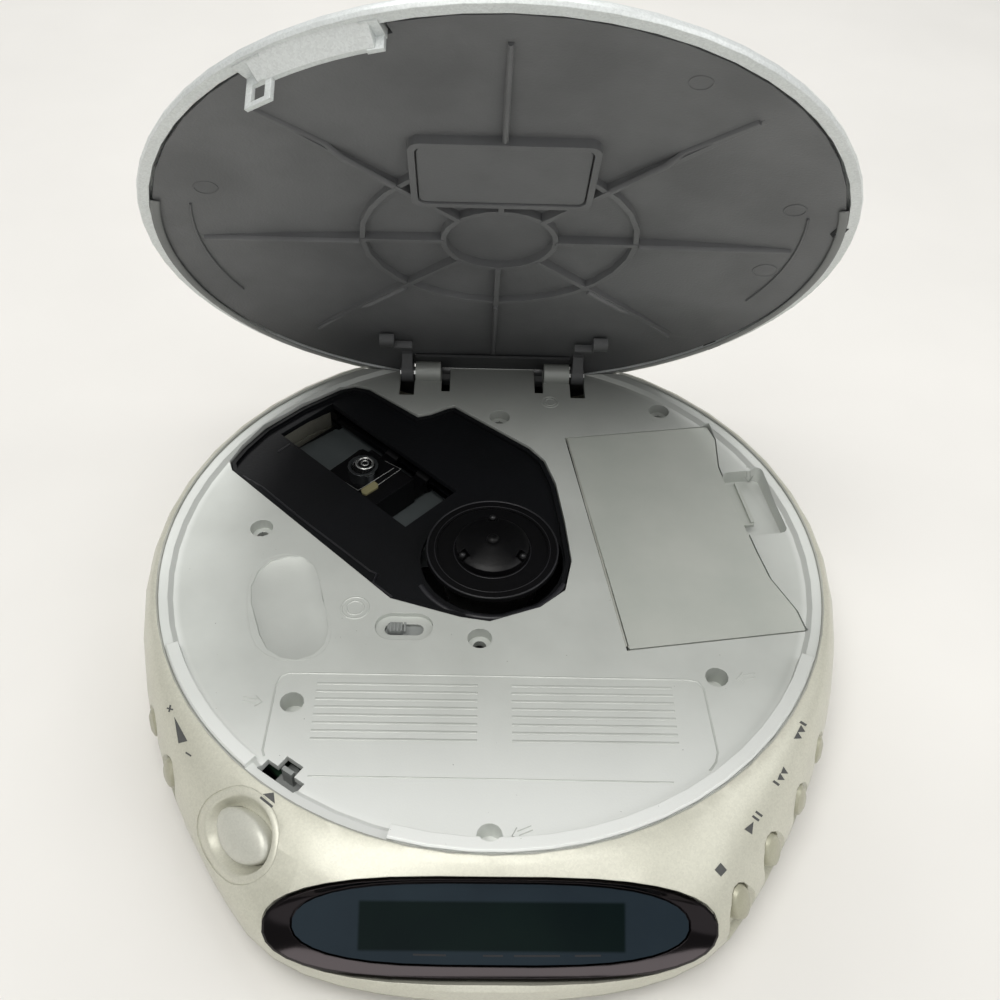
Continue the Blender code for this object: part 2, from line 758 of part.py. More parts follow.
def long_oval(width, height):
    """A long oval with nearly straight sides."""
    points = []
    for i in range(BEZEL_STEPS):
        turn = 2 * math.pi * (i + 0.5) / BEZEL_STEPS
        c, s = math.cos(turn), math.sin(turn)
        points.append((math.copysign(abs(c) ** BEZEL_SIDE_SHARE, c) * width / 2,
                       math.copysign(abs(s) ** BEZEL_TOP_SHARE, s) * height / 2))
    return points


def display_block(depth):
    outline = long_oval(BEZEL_W + CABINET_WALL * 2, BEZEL_H + CABINET_WALL * 2)
    return prism(outline, -depth, OVERRUN * 6, display_frame())


def make_display(player, cabinet):
    frame = display_frame()
    pocket = long_oval(BEZEL_W + GAP * 2, BEZEL_H + GAP * 2)
    cut(cabinet, "display", prism(pocket, -DISPLAY_DEPTH - BEZEL_T - GAP, OVERRUN * 6, frame), player)
    window = rounded(LCD_W + GAP * 2, LCD_H + GAP * 2, BEZEL_BAND)
    cut(cabinet, "window", prism(window, -DISPLAY_DEPTH - BEZEL_T - CABINET_WALL - OVERRUN, 0, frame),
        player)
    seat_w = BEZEL_W - BEZEL_END * 2
    seat_h = BEZEL_H - BEZEL_BAND * 2
    lip = BEZEL_LIP
    low = -DISPLAY_DEPTH - BEZEL_T
    face = -DISPLAY_DEPTH
    rings = [[(x, y, z) for x, y in long_oval(BEZEL_W - draw, BEZEL_H - draw)]
             for draw, z in ((0, low), (0, face - lip / 2), (lip, face))]
    rings.append([(x, y + SEAT_UP, face - LENS_DROP) for x, y in long_oval(seat_w + lip, seat_h + lip)])
    bezel = solid("display_bezel", "chrome", moved(skin(rings), frame), player)
    frame = frame @ Matrix.Translation((0, SEAT_UP, 0))
    seat = long_oval(seat_w + GAP * 2, seat_h + GAP * 2)
    cut(bezel, "seat", prism(seat, -DISPLAY_DEPTH - LENS_DROP - LENS_T - GAP, OVERRUN * 2, frame), player)
    through = long_oval(seat_w - lip * 2, seat_h - lip)
    cut(bezel, "window", prism(through, low - OVERRUN, OVERRUN, frame), player)
    lens = prism(long_oval(seat_w, seat_h), face - LENS_DROP - LENS_T, face - LENS_DROP, frame)
    solid("display_lens", "glass", lens, player)
    lcd_top = -DISPLAY_DEPTH - LENS_DROP - LENS_T - GAP
    solid("lcd_module", "black", prism(rounded(LCD_W, LCD_H - lip, lip), lcd_top - LCD_T, lcd_top, frame),
          player)


def make_open_button(player, cabinet):
    place, turn = flank_frame(LATCH_ANGLE, 0, OPEN_R)
    frame = Matrix.Translation(place) @ turn
    cut(cabinet, "open_scoop", moved(bowl(SCOOP_W, SCOOP_L, SCOOP_DEPTH, OVERRUN * 3), frame), player)
    hole = prism(oval(OPEN_W + GAP * 2, OPEN_L + GAP * 2), -CABINET_WALL * 3, OVERRUN * 3, frame)
    cut(cabinet, "open_hole", hole, player)
    axis = empty("open_button_axis", place, player, turn)
    cap = dome(OPEN_W, OPEN_L, -CABINET_WALL, OPEN_RISE)
    button = solid("open_button", "cream", moved(cap, Matrix.Translation((0, 0, -OPEN_RISE))), axis)
    return button


def make_keys(player, cabinet):
    for name, degrees in FLANK_KEYS:
        place, turn = flank_frame(math.radians(degrees), KEY_Z)
        frame = Matrix.Translation(place) @ turn
        drop = Matrix.Translation((0, -KEY_SCOOP_DROP, 0))
        scoop = moved(bowl(KEY_SCOOP_W, KEY_SCOOP_L, KEY_SCOOP_DEPTH, OVERRUN * 3, rings=3), frame @ drop)
        cut(cabinet, name + "_scoop", scoop, player)
        hole = prism(oval(KEY_W + GAP * 2, KEY_L + GAP * 2, ROUND_SMALL), -CABINET_WALL * 3, OVERRUN, frame)
        cut(cabinet, name + "_hole", hole, player)
        axis = empty(name + "_axis", place, player, turn)
        back = -CABINET_WALL - GAP - KEY_TRAVEL
        rows = [[(x, y, back - KEY_FLANGE_T) for x, y in oval(KEY_W, KEY_L, ROUND_SMALL)]]
        rows += [[(x * c, y * c, z) for x, y in oval(KEY_W, KEY_L, ROUND_SMALL)]
                 for c, z in ((1.0, -KEY_SCOOP_DEPTH), (1.0, -KEY_RISE), (0.86, KEY_RISE * 0.2),
                              (0.5, KEY_RISE))]
        solid(name, "cream", skin(rows), axis)


def make_bottom(player):
    top = SPLIT_Z - GAP / 2
    mid_z = (SPLIT_Z + BOTTOM_Z) / 2
    rings = [flank_ring(top, 0), flank_ring(mid_z, BOTTOM_INSET * 0.18),
             flank_ring(BOTTOM_Z + SHELL_WALL / 2, BOTTOM_INSET * 0.62),
             flank_ring(BOTTOM_Z, BOTTOM_INSET)]
    shell = solid("bottom_shell", "cream", skin(rings), player)
    room = [flank_ring(top + OVERRUN, CABINET_WALL),
            flank_ring(mid_z, CABINET_WALL + BOTTOM_INSET * 0.18),
            flank_ring(SHELL_FLOOR, CABINET_WALL + BOTTOM_INSET * 0.75)]
    cut(shell, "room", skin(room), player)
    for i, (x, y) in enumerate(from_shares(BOARD_POST_SHARES, DISC_R)):
        add(shell, f"post_{i}",
            disc(POST_R, SHELL_FLOOR - SINK, BOARD_Z - BOARD_T - GAP, ROUND_TINY, about(x, y)), player)
    for i, (x, y) in enumerate(from_shares(SCREW_PLACE_SHARES, DISC_R)):
        pillar = disc(SCREW_BOSS_R, SHELL_FLOOR - SINK, DECK_UNDER - SCREW_BOSS_D - GAP, ROUND_TINY,
                      about(x, y))
        add(shell, f"pillar_{i}", pillar, player)
        core = disc(SCREW_SHANK_R + GAP, SHELL_FLOOR + SHELL_WALL, OVERRUN, ROUND_TINY, about(x, y))
        cut(shell, f"pillar_{i}", core, player)
    return shell


def feet(player, shell):
    for i, (x, y) in enumerate((sx * fx, fy) for fx,
                               fy in from_shares(FOOT_SHARES, DISC_R) for sx in (-1, 1)):
        side = "left" if x < 0 else "right"
        end = "front" if y < 0 else "rear"
        shape = turned([(0, -BASE_H), (FOOT_R - FOOT_H / 2, -BASE_H), (FOOT_R, -BASE_H + FOOT_H / 2),
                        (FOOT_R, BOTTOM_Z + FOOT_SINK), (0, BOTTOM_Z + FOOT_SINK)], ROUND_SMALL,
                        about(x, y))
        solid(f"foot_{end}_{side}", "rubber", shape, player)
        seat = disc(FOOT_R + GAP, BOTTOM_Z - OVERRUN, BOTTOM_Z + FOOT_SINK + GAP, ROUND_SMALL,
                    about(x, y))
        cut(shell, f"foot_{end}_{side}", seat, player)


def make_deck(player):
    profile = [(0, DECK_UNDER), (DECK_R, DECK_UNDER), (DECK_R, -RIM_LOW),
               (WELL_R + RIM_WIDTH / 3, -RIM_LOW - GAP),
               (WELL_R, FLOOR_Z), (0, FLOOR_Z)]
    deck = solid("deck", "silver", turned(profile, ROUND), player)
    for i, (start, end) in enumerate(RIM_ARCS):
        rows = []
        for k in range(RIM_ARC_STEPS + 1):
            angle = math.radians(start + (end - start) * k / RIM_ARC_STEPS)
            foot = DECK_UNDER + DECK_WALL / 2
            rows.append([radial(angle, r, z) for r, z in
                         ((WELL_R - SINK, foot), (DECK_R - SINK, foot), (DECK_R - SINK, -GAP),
                          (DECK_R - SINK - GAP, 0), (WELL_R, 0))])
        add(deck, f"rim_{i}", skin(rows), player)
    return deck


def hinge_features(player, deck):
    knuckle_frame = Matrix.Translation((0, HINGE_Y, HINGE_Z)) @ ALONG_X
    for side, label in ((-1, "left"), (1, "right")):
        a, b = sorted((side * ARM_IN, side * ARM_OUT))
        add(deck, "knuckle_" + label, disc(KNUCKLE_R, a, b, ROUND_SMALL, knuckle_frame), player)
    swing = side_prism(swing_profile(0), -RECESS_HALF, RECESS_HALF)
    keep = helper("deck_swing_keep", swing, player)
    tongue = block(-ARM_OUT, ARM_OUT, LID_NOTCH_Y, TONGUE_BACK, -BASE_H, OVERRUN * 6)
    boolean(keep, helper("deck_tongue_keep", tongue, player), "DIFFERENCE")
    boolean(deck, keep, "DIFFERENCE")
    for side, label in ((-1, "left"), (1, "right")):
        a, b = sorted((side * (LUG_IN - GAP), side * (LUG_OUT + GAP)))
        cut(deck, "lug_" + label,
            block(a, b, LUG_NOTCH_Y, DECK_R + OVERRUN, DECK_UNDER - OVERRUN * 3, OVERRUN * 3), player)
        a, b = sorted((side * REAR_SLOT_IN, side * REAR_SLOT_OUT))
        cut(deck, "slot_" + label,
            block(a, b, REAR_SLOT_Y, DECK_R + OVERRUN, DECK_UNDER - OVERRUN * 3, OVERRUN * 3), player)
        a, b = sorted((side * (ARM_IN + DECK_WALL), side * (ARM_OUT + OVERRUN)))
        cut(deck, "pin_" + label, disc(PIN_R + GAP, a, b, ROUND_TINY, knuckle_frame), player)
        a, b = sorted((side * (TONGUE_HALF - GAP), side * (NOTCH_HALF + GAP)))
        bridge = block(a, b, HINGE_Y + KNUCKLE_R + GAP / 2, TONGUE_BACK + OVERRUN, -BRIDGE_DIP, OVERRUN * 6)
        cut(deck, "bridge_" + label, bridge, player)
        a, b = sorted((side * (ARM_IN + DECK_WALL + GAP), side * (LUG_OUT + GAP)))
        solid("hinge_pin_" + label, "steel", disc(PIN_R, a, b, ROUND_TINY, knuckle_frame), player)


def door_outline():
    return [(u * DOOR_W, v * DOOR_L) for u, v in DOOR_OUTLINE_SHARES]


def pocket_outline():
    return anticlockwise(from_shares(POCKET_OUTLINE_SHARES, DISC_R))


def dent_shape(by, top, depth, collar=0.0):
    """The thumb dent's bean, grown by a wall: it falls steeply at its edge to a shallow floor."""
    outline = grown(anticlockwise(from_shares(DENT_SHARES, DISC_R)), by)
    middle = Vector((sum(x for x, _ in outline), sum(y for _, y in outline))) / len(outline)
    rings = [[(x, y, top + collar) for x, y in outline]]
    if collar:
        rings.append([(x, y, top) for x, y in outline])
    for share, fall in DENT_LEVEL_SHARES:
        rings.append([(*middle.lerp(Vector(p), share), top - depth * fall) for p in outline])
    return skin(rings)


def deck_features(player, deck):
    through = DECK_UNDER - OVERRUN
    pocket = pocket_outline()
    cut(deck, "pocket", prism(pocket, through, OVERRUN, None), player)

    add(deck, "dent", dent_shape(DECK_WALL, FLOOR_Z - SINK, DENT_DEPTH + DECK_WALL - SINK), player)
    for i, (x, y) in enumerate(from_shares(SCREW_PLACE_SHARES, DISC_R)):
        low = DECK_UNDER - SCREW_BOSS_D
        add(deck, f"boss_{i}", disc(SCREW_BOSS_R, low, FLOOR_Z - SINK, ROUND_SMALL, about(x, y)), player)
    for i, (x, y) in enumerate(from_shares(SUNK_PLACE_SHARES, DISC_R)):
        low = FLOOR_Z - SUNK_DEPTH - DECK_WALL / 2
        add(deck, f"sunk_{i}",
            disc(SUNK_R + DECK_WALL / 2, low, FLOOR_Z - SINK, ROUND_SMALL, about(x, y)), player)
    recess = recess_frame()
    wall = rounded(RECESS_W + DECK_WALL, RECESS_L + DECK_WALL, DECK_WALL)
    add(deck, "recess", prism(wall, FLOOR_Z - RECESS_DEPTH - DECK_WALL / 2, FLOOR_Z - SINK, recess),
        player)
    for v, end in ((0, -1), (DOOR_L, 1)):
        a, b = sorted((v + end * GAP * 2, v + end * (GAP * 2 + DOOR_BOSS)))
        boss = block(-DOOR_BOSS, DOOR_AXIS_IN + DOOR_BOSS, a, b, door_axis_z() - DOOR_BOSS,
                     FLOOR_Z - SINK, DOOR)
        add(deck, "door_boss_" + ("front" if end < 0 else "rear"), boss, player)

    cut(deck, "dent", dent_shape(0, FLOOR_Z, DENT_DEPTH, OVERRUN), player)
    for i, (x, y) in enumerate(from_shares(SCREW_PLACE_SHARES, DISC_R)):
        low = FLOOR_Z - SCREW_WELL_D - SCREW_HEAD_H
        hole = turned([(0, DECK_UNDER - SCREW_BOSS_D - OVERRUN),
                       (SCREW_SHANK_R + GAP, DECK_UNDER - SCREW_BOSS_D - OVERRUN),
                       (SCREW_SHANK_R + GAP, low), (SCREW_WELL_R, low), (SCREW_WELL_R, OVERRUN * 2),
                       (0, OVERRUN * 2)],
                      ROUND_SMALL, about(x, y))
        cut(deck, f"screw_{i}", hole, player)
        deck_screw(player, i, x, y, low + GAP)
    for i, (x, y) in enumerate(from_shares(SUNK_PLACE_SHARES, DISC_R)):
        cut(deck, f"sunk_{i}", disc(SUNK_R, FLOOR_Z - SUNK_DEPTH, OVERRUN, ROUND_SMALL, about(x, y)),
            player)
    room = rounded(RECESS_W, RECESS_L, DECK_WALL)
    cut(deck, "recess", prism(room, FLOOR_Z - RECESS_DEPTH, OVERRUN, recess), player)
    gap = [(max(u, 0) + (GAP if u > 0 else -DOOR_EDGE_GAP), v + (GAP if v > DOOR_L / 2 else -GAP)) for u,
           v in door_outline()]
    cut(deck, "door", prism(gap, through, OVERRUN, DOOR), player)
    bore = disc(DOOR_PIN_R + GAP, -DOOR_PIN_L - GAP * 2, DOOR_L + DOOR_PIN_L + GAP * 2, ROUND_TINY,
                door_axis_frame())
    cut(deck, "door_pins", bore, player)

    slot = about(HOLD_X, HOLD_Y)
    cut(deck, "hold_recess",
        prism(rounded(HOLD_L, HOLD_W, HOLD_W * 0.49, 5), FLOOR_Z - HOLD_DEPTH, OVERRUN, slot), player)
    cut(deck, "hold_slot",
        prism(rounded(HOLD_SLOT_L, HOLD_SLOT_W, HOLD_SLOT_W * 0.45, 3), through, OVERRUN, slot), player)
    latch = latch_frame()
    cut(deck, "latch_slot",
        block(-SLOT_W / 2, SLOT_W / 2, -SLOT_D / 2, SLOT_D / 2, through, OVERRUN, latch), player)
    square = block(-SLOT_SQUARE / 2, SLOT_SQUARE / 2, 0, SLOT_SQUARE, through, OVERRUN, latch)
    cut(deck, "latch_square", square, player)


def latch_frame():
    """At the latch tab, with Y toward the spindle and X along the rim."""
    place = radial(LATCH_ANGLE, LATCH_R)
    return about(place.x, place.y, LATCH_ANGLE)


def recess_frame():
    """The middle of the finger recess, beyond the door's free edge, turned with the door."""
    return DOOR @ Matrix.Translation((DOOR_W * 0.905 + RECESS_W / 2, RECESS_V, 0))


def recess_room():
    """The space that the deck's finger recess takes under the deck, with its clearance."""
    grow = DECK_WALL + GAP * 2
    outline = rounded(RECESS_W + grow, RECESS_L + grow, DECK_WALL)
    return prism(outline, FLOOR_Z - RECESS_DEPTH - DECK_WALL / 2 - GAP, OVERRUN * 4, recess_frame())


def door_axis_z():
    return FLOOR_Z - DOOR_AXIS_DOWN


def door_axis_frame():
    """The door's hinge line, with Z running along it toward the rear."""
    return DOOR @ Matrix.Translation((DOOR_AXIS_IN, 0, door_axis_z())) @ ALONG_Y


def deck_screw(player, i, x, y, seat):
    top = seat + SCREW_HEAD_H
    shape = turned([(0, seat - SCREW_L), (SCREW_SHANK_R * 0.6, seat - SCREW_L),
                    (SCREW_SHANK_R, seat - SCREW_L + SCREW_SHANK_R),
                    (SCREW_SHANK_R, seat), (SCREW_HEAD_R, seat), (SCREW_HEAD_R, top - SCREW_HEAD_H * 0.4),
                    (SCREW_HEAD_R * 0.7, top), (SCREW_SLOT_R, top), (0, top - SCREW_SLOT_D)], ROUND_TINY,
                    about(x, y))
    solid(f"deck_screw_{i + 1}", "steel", shape, player)


def make_door(player):
    axis = empty("battery_door_axis", DOOR @ Vector((DOOR_AXIS_IN, 0, door_axis_z())), player,
                 Matrix.Rotation(DOOR_TURN, 4, "Z"))
    local = Matrix.Translation((-DOOR_AXIS_IN, 0, -door_axis_z()))
    door = solid("battery_door", "silver", prism(door_outline(), DECK_UNDER, FLOOR_Z, local), axis)
    for v, end, label in ((0, -1, "front"), (DOOR_L, 1, "rear")):
        a, b = sorted((v - end * DOOR_PIN_L * 2, v + end * DOOR_PIN_L))
        add(door, "pin_" + label, disc(DOOR_PIN_R, a, b, ROUND_TINY, ALONG_Y), axis)
    u = DOOR_W * 0.9
    catch = block(u - OVERRUN, u + CATCH_REACH, CATCH_V - CATCH_W / 2, CATCH_V + CATCH_W / 2,
                  DECK_UNDER + SINK, FLOOR_Z - SINK * 2, local)
    add(door, "catch", catch, axis)
    ridge = block(u + CATCH_REACH - DECK_WALL / 2, u + CATCH_REACH, CATCH_V - CATCH_W / 2 + SINK,
                  CATCH_V + CATCH_W / 2 - SINK,
                  DECK_UNDER + SINK * 2, FLOOR_Z + SINK, local)
    add(door, "ridge", ridge, axis)


def tray_box():
    """The tray's inside: across the door and along it."""
    u0 = GAP + CONTACT_T
    return u0, u0 + CELL_COUNT * CELL_R * 2 + (CELL_COUNT + 1) * CELL_SPACE, TRAY_END, DOOR_L - TRAY_END


def make_batteries(player):
    u0, u1, v0, v1 = tray_box()
    top = DECK_UNDER - GAP * 2
    low = SHELL_FLOOR + GAP
    w = TRAY_WALL
    tray = solid("battery_tray", "black", block(u0 - w, u1 + w, v0 - w, v1 + w, low, top, DOOR), player)
    cut(tray, "room", block(u0, u1, v0, v1, low + w, top + OVERRUN, DOOR), player)
    cut(tray, "recess", recess_room(), player)
    swing = disc(DOOR_SWING_R, -OVERRUN * 4, DOOR_L + OVERRUN * 4, ROUND_SMALL, door_axis_frame())
    cut(tray, "swing", swing, player)
    axis_z = low + w + GAP + CELL_R
    middle = (v0 + v1) / 2
    for i in range(CELL_COUNT):
        u = u0 + CELL_SPACE + CELL_R + i * (CELL_R * 2 + CELL_SPACE)
        end = 1 if i % 2 else -1
        face = CELL_L / 2
        body = [(0, -face), (CELL_R - CELL_EDGE, -face), (CELL_R, -face + CELL_EDGE), (CELL_R, face - CELL_EDGE),
                (CELL_R - CELL_EDGE, face), (CELL_NUB_R, face), (CELL_NUB_R, face + CELL_NUB_L),
                (0, face + CELL_NUB_L)]
        frame = DOOR @ Matrix.Translation((u, middle, axis_z)) @ ALONG_Y
        if end < 0:
            frame = frame @ Matrix.Rotation(math.pi, 4, "X")
        solid(f"battery_cell_{i + 1}", "cell", turned(body, ROUND_SMALL, frame), player)
        plus = v1 if end > 0 else v0
        minus = v0 if end > 0 else v1
        a, b = sorted((plus - end * GAP, plus - end * (GAP + CONTACT_T)))
        plate = block(u - CONTACT_R, u + CONTACT_R, a, b, axis_z - CONTACT_R, axis_z + CONTACT_R, DOOR)
        solid(f"battery_contact_{i + 1}", "steel", plate, player)
        room = abs(middle - end * face - minus) - GAP * 2
        spring(player, f"battery_spring_{i + 1}", u, minus + end * GAP, end, room, axis_z)


def spring(player, name, u, v, end, length, z):
    """A conical contact spring between the tray's end and the cell's flat end."""
    centre = []
    for k in range(SPRING_TURNS * ROUND_TINY + 1):
        t = k / (SPRING_TURNS * ROUND_TINY)
        angle = 2 * math.pi * k / ROUND_TINY
        r = SPRING_R * (1 - SPRING_TAPER * t)
        reach = SPRING_WIRE + (length - SPRING_WIRE * 2) * t
        centre.append(Vector((u + r * math.cos(angle), v + end * reach, z + r * math.sin(angle))))
    rings = []
    for k, p in enumerate(centre):
        ahead = centre[min(k + 1, len(centre) - 1)] - centre[max(k - 1, 0)]
        side = Vector((p.x - u, 0, p.z - z)).normalized()
        other = ahead.normalized().cross(side)
        rings.append([p + SPRING_WIRE * (side * math.cos(a) + other * math.sin(a))
                      for a in (2 * math.pi * i / SPRING_SIDES for i in range(SPRING_SIDES))])
    coil = skin(rings)
    bmesh.ops.triangulate(coil, faces=coil.faces)
    solid(name, "steel", moved(coil, DOOR), player)


def make_mechanism(player):
    cover_top = COVER_Z
    inner = grown(pocket_outline(), -GAP)
    cover = solid("mechanism_cover", "black", prism(inner, COVER_SKIRT_Z, FLOOR_Z - POCKET_RIM_DROP),
                  player)
    cut(cover, "under", prism(grown(inner, -COVER_T), COVER_SKIRT_Z - OVERRUN, cover_top - COVER_T),
        player)
    cut(cover, "face", prism(grown(inner, -COVER_RIM_W), cover_top, OVERRUN), player)
    window = block(WINDOW_U0, WINDOW_U1, WINDOW_V0, WINDOW_V1, COVER_SKIRT_Z, OVERRUN, SLED)
    cut(cover, "window", window, player)
    cut(cover, "table", disc(TABLE_WELL_R, COVER_SKIRT_Z - OVERRUN, OVERRUN, ROUND_MID), player)

    axis = empty("turntable_axis", (0, 0, 0), player)
    bore = SHAFT_R + GAP
    table = [(bore, TABLE_TOP - TABLE_T), (TABLE_R - GAP, TABLE_TOP - TABLE_T),
             (TABLE_R, TABLE_TOP - TABLE_T + GAP),
             (TABLE_R, TABLE_TOP), (TABLE_R - TABLE_RIM, TABLE_TOP),
             (TABLE_R - TABLE_RIM, TABLE_TOP - HUB_SEAT), (bore, TABLE_TOP - HUB_SEAT)]
    solid("turntable", "black", turned(table, ROUND_MID), axis)
    foot = TABLE_TOP - HUB_SEAT + GAP
    crown = TABLE_TOP + HUB_H
    hub = [(bore, foot), (HUB_R, foot), (HUB_R, crown - HUB_H * 0.45),
           (HUB_R * 0.86, crown - HUB_H * 0.1), (HUB_R * 0.42, crown),
           (HUB_R * 0.3, crown + HUB_SEAT), (bore, crown + HUB_SEAT)]
    chuck = solid("chuck_hub", "black", turned(hub, ROUND_MID), axis)
    for i in range(BALL_COUNT):
        turn = 2 * math.pi * i / BALL_COUNT + math.pi / 2
        r = HUB_R + BALL_PROUD - BALL_R
        x, y, z = r * math.cos(turn), r * math.sin(turn), foot + BALL_R + GAP * 2
        reach = BALL_R + GAP
        seat = block(-reach, reach * 2, -reach, reach, -reach, reach * 3, about(x, y, turn, z))
        cut(chuck, f"ball_seat_{i}", seat, axis)
        points = [(BALL_R * math.cos(a),
                   BALL_R * math.sin(a)) for a in (math.pi * (k / 6 - 0.5) for k in range(1, 6))]
        ball = turned([(0, -BALL_R)] + points + [(0, BALL_R)], ROUND_TINY, about(x, y, 0, z))
        solid(f"chuck_ball_{i + 1}", "steel", ball, axis)
    low = MOTOR_TOP - MOTOR_H + GAP * 2
    shaft = [(0, low), (SHAFT_R, low), (SHAFT_R, SHAFT_TIP - SHAFT_R), (SHAFT_R * 0.5, SHAFT_TIP),
             (0, SHAFT_TIP)]
    solid("spindle_shaft", "steel", turned(shaft, ROUND_TINY), axis)
    r = MOTOR_R
    base = MOTOR_TOP - MOTOR_H
    motor = [(0, base), (r, base), (r, MOTOR_TOP - GAP), (r - GAP, MOTOR_TOP), (bore, MOTOR_TOP),
             (bore, low - GAP), (0, low - GAP)]
    solid("spindle_motor", "steel", turned(motor, ROUND_SMALL), player)
    make_traverse(player)


def frame_outline():
    c = FRAME_CORNER
    return [(FRAME_U0, FRAME_V0 + c), (FRAME_U0 + c, FRAME_V0), (FRAME_U1 - c, FRAME_V0),
            (FRAME_U1, FRAME_V0 + c * 0.8), (FRAME_U1, FRAME_V1), (FRAME_U0, FRAME_V1)]


def make_traverse(player):
    top = FRAME_Z
    frame = solid("traverse_frame", "black",
                  prism(frame_outline(), top - FRAME_T, top, SLED), player)
    window = block(LENS_U - SLED_IN - SLED_L / 2, LENS_U + SLED_OUT, SIDE_ROD_V * -0.6, SIDE_ROD_V * 0.7,
                   top - FRAME_T - OVERRUN, top + OVERRUN, SLED)
    cut(frame, "window", window, player)
    for label, v, r in (("main", MAIN_ROD_V, MAIN_ROD_R), ("side", SIDE_ROD_V, SIDE_ROD_R)):
        for end, u in (("near", ROD_U0), ("far", ROD_U1)):
            a, b = sorted((u - ROD_POST / 2, u + ROD_POST / 2))
            post = block(a, b, v - ROD_POST_W / 2, v + ROD_POST_W / 2, top - SINK,
                         ROD_Z + r + ROD_POST / 2, SLED)
            add(frame, f"{label}_{end}", post, player)
        cut(frame, label + "_bore",
            sled_rod(r + GAP, ROD_U0 - ROD_POST / 4, ROD_U1 + ROD_POST / 4, v, ROD_Z), player)
        rod = sled_rod(r, ROD_U0 - ROD_POST / 4 + GAP, ROD_U1 + ROD_POST / 4 - GAP, v, ROD_Z)
        solid(f"{label}_guide_rod", "steel", rod, player)
    cradle = block(SLED_MOTOR_U, SLED_MOTOR_U + SLED_MOTOR_L, SCREW_V - SLED_MOTOR_R * 0.8,
                   SCREW_V + SLED_MOTOR_R * 0.8,
                   top - SINK, ROD_Z - SLED_MOTOR_R * 0.5, SLED)
    add(frame, "cradle", cradle, player)
    cut(frame, "cradle", sled_rod(SLED_MOTOR_R + GAP, SLED_MOTOR_U - OVERRUN,
                                  SLED_MOTOR_U + SLED_MOTOR_L + OVERRUN, SCREW_V, ROD_Z), player)
    end_post = block(SCREW_U1, SCREW_U1 + ROD_POST, SCREW_V - ROD_POST_W / 2, SCREW_V + ROD_POST_W / 2,
                     top - SINK, ROD_Z + ROD_POST, SLED)
    add(frame, "screw_post", end_post, player)
    motor = sled_rod(SLED_MOTOR_R, SLED_MOTOR_U, SLED_MOTOR_U + SLED_MOTOR_L, SCREW_V, ROD_Z, ROUND_SMALL)
    solid("sled_motor", "steel", motor, player)
    screw_axis = empty("lead_screw_axis", SLED @ Vector((0, SCREW_V, ROD_Z)), player, SLED)
    screw = disc(SCREW_R, SLED_MOTOR_U + SLED_MOTOR_L + GAP, SCREW_U1 - GAP, ROUND_TINY, ALONG_X)
    solid("lead_screw", "steel", screw, screw_axis)

    sled_axis = empty("sled_axis", SLED @ Vector((LENS_U, 0, 0)), player, SLED)
    half = SLED_L / 2
    low = SLED_TOP - SLED_H
    front = half * SLED_FRONT_SHARE
    body = block(-half, front, -SLED_W * 0.45, SLED_W * 0.45, low, SLED_TOP)
    sled = solid("pickup_sled", "black", body, sled_axis)
    v = MAIN_ROD_V
    for u in (-half + BEARING_L / 2, front - BEARING_L / 2):
        a, b = u - BEARING_L / 2, u + BEARING_L / 2
        bush = Matrix.Translation((0, v, ROD_Z)) @ ALONG_X
        add(sled, f"bush_{u > 0}", disc(BEARING_R, a, b, ROUND_SMALL, bush), sled_axis)
        arm = block(a + SINK, b - SINK, v + MAIN_ROD_R, -SLED_W * 0.4, ROD_Z - MAIN_ROD_R,
                    ROD_Z + MAIN_ROD_R)
        add(sled, f"arm_{u > 0}", arm, sled_axis)
    cut(sled, "main_bore", disc(MAIN_ROD_R + GAP, -half * 2, half * 2, ROUND_TINY, bush), sled_axis)
    fork = block(-half * 0.5, half * 0.1, SLED_W * 0.4, SIDE_ROD_V + SIDE_ROD_R * 1.5,
                 ROD_Z - SIDE_ROD_R * 2.2, ROD_Z + SIDE_ROD_R * 2.2)
    add(sled, "fork", fork, sled_axis)
    groove = block(-half, half, SIDE_ROD_V - SIDE_ROD_R - GAP, SIDE_ROD_V + SIDE_ROD_R * 3,
                   ROD_Z - SIDE_ROD_R - GAP, ROD_Z + SIDE_ROD_R + GAP)
    cut(sled, "fork", groove, sled_axis)
    follower = block(-half, -half + BEARING_L, SCREW_V + SCREW_R + GAP, v - BEARING_R * 0.7,
                     ROD_Z - SCREW_R, ROD_Z + SCREW_R)
    add(sled, "follower", follower, sled_axis)
    cut(sled, "lens_well", disc(LENS_HOLD_R + GAP, SLED_TOP - LENS_R, SLED_TOP + OVERRUN, ROUND_SMALL),
        sled_axis)
    holder = ring(LENS_R + GAP, LENS_HOLD_R, SLED_TOP - LENS_R + GAP, LENS_TOP - GAP, ROUND_SMALL)
    solid("lens_holder", "black", holder, sled_axis)
    glass = turned([(0, LENS_TOP - LENS_R), (LENS_R, LENS_TOP - LENS_R), (LENS_R, LENS_TOP - GAP),
                    (LENS_R * 0.7, LENS_TOP), (0, LENS_TOP + GAP / 2)], ROUND_SMALL)
    solid("objective_lens", "glass", glass, sled_axis)
    base = FRAME_Z - FRAME_T
    for i, (u, v) in enumerate(((FRAME_U0 + DAMPER_R * 1.5, FRAME_V1 - DAMPER_R * 1.5),
                                (FRAME_U0 + FRAME_CORNER, FRAME_V0 + DAMPER_R * 1.5),
                                (FRAME_U1 - DAMPER_R * 1.5, 0))):
        waist = DAMPER_R * DAMPER_WAIST_SHARE
        mid = (SHELL_FLOOR + base) / 2
        shape = turned([(0, SHELL_FLOOR + GAP), (DAMPER_R, SHELL_FLOOR + GAP), (DAMPER_R, mid - SINK),
                        (waist, mid), (DAMPER_R, mid + SINK),
                        (DAMPER_R, base - GAP), (0, base - GAP)], ROUND_TINY,
                        SLED @ Matrix.Translation((u, v, 0)))
        solid(f"damper_{i + 1}", "rubber", shape, player)


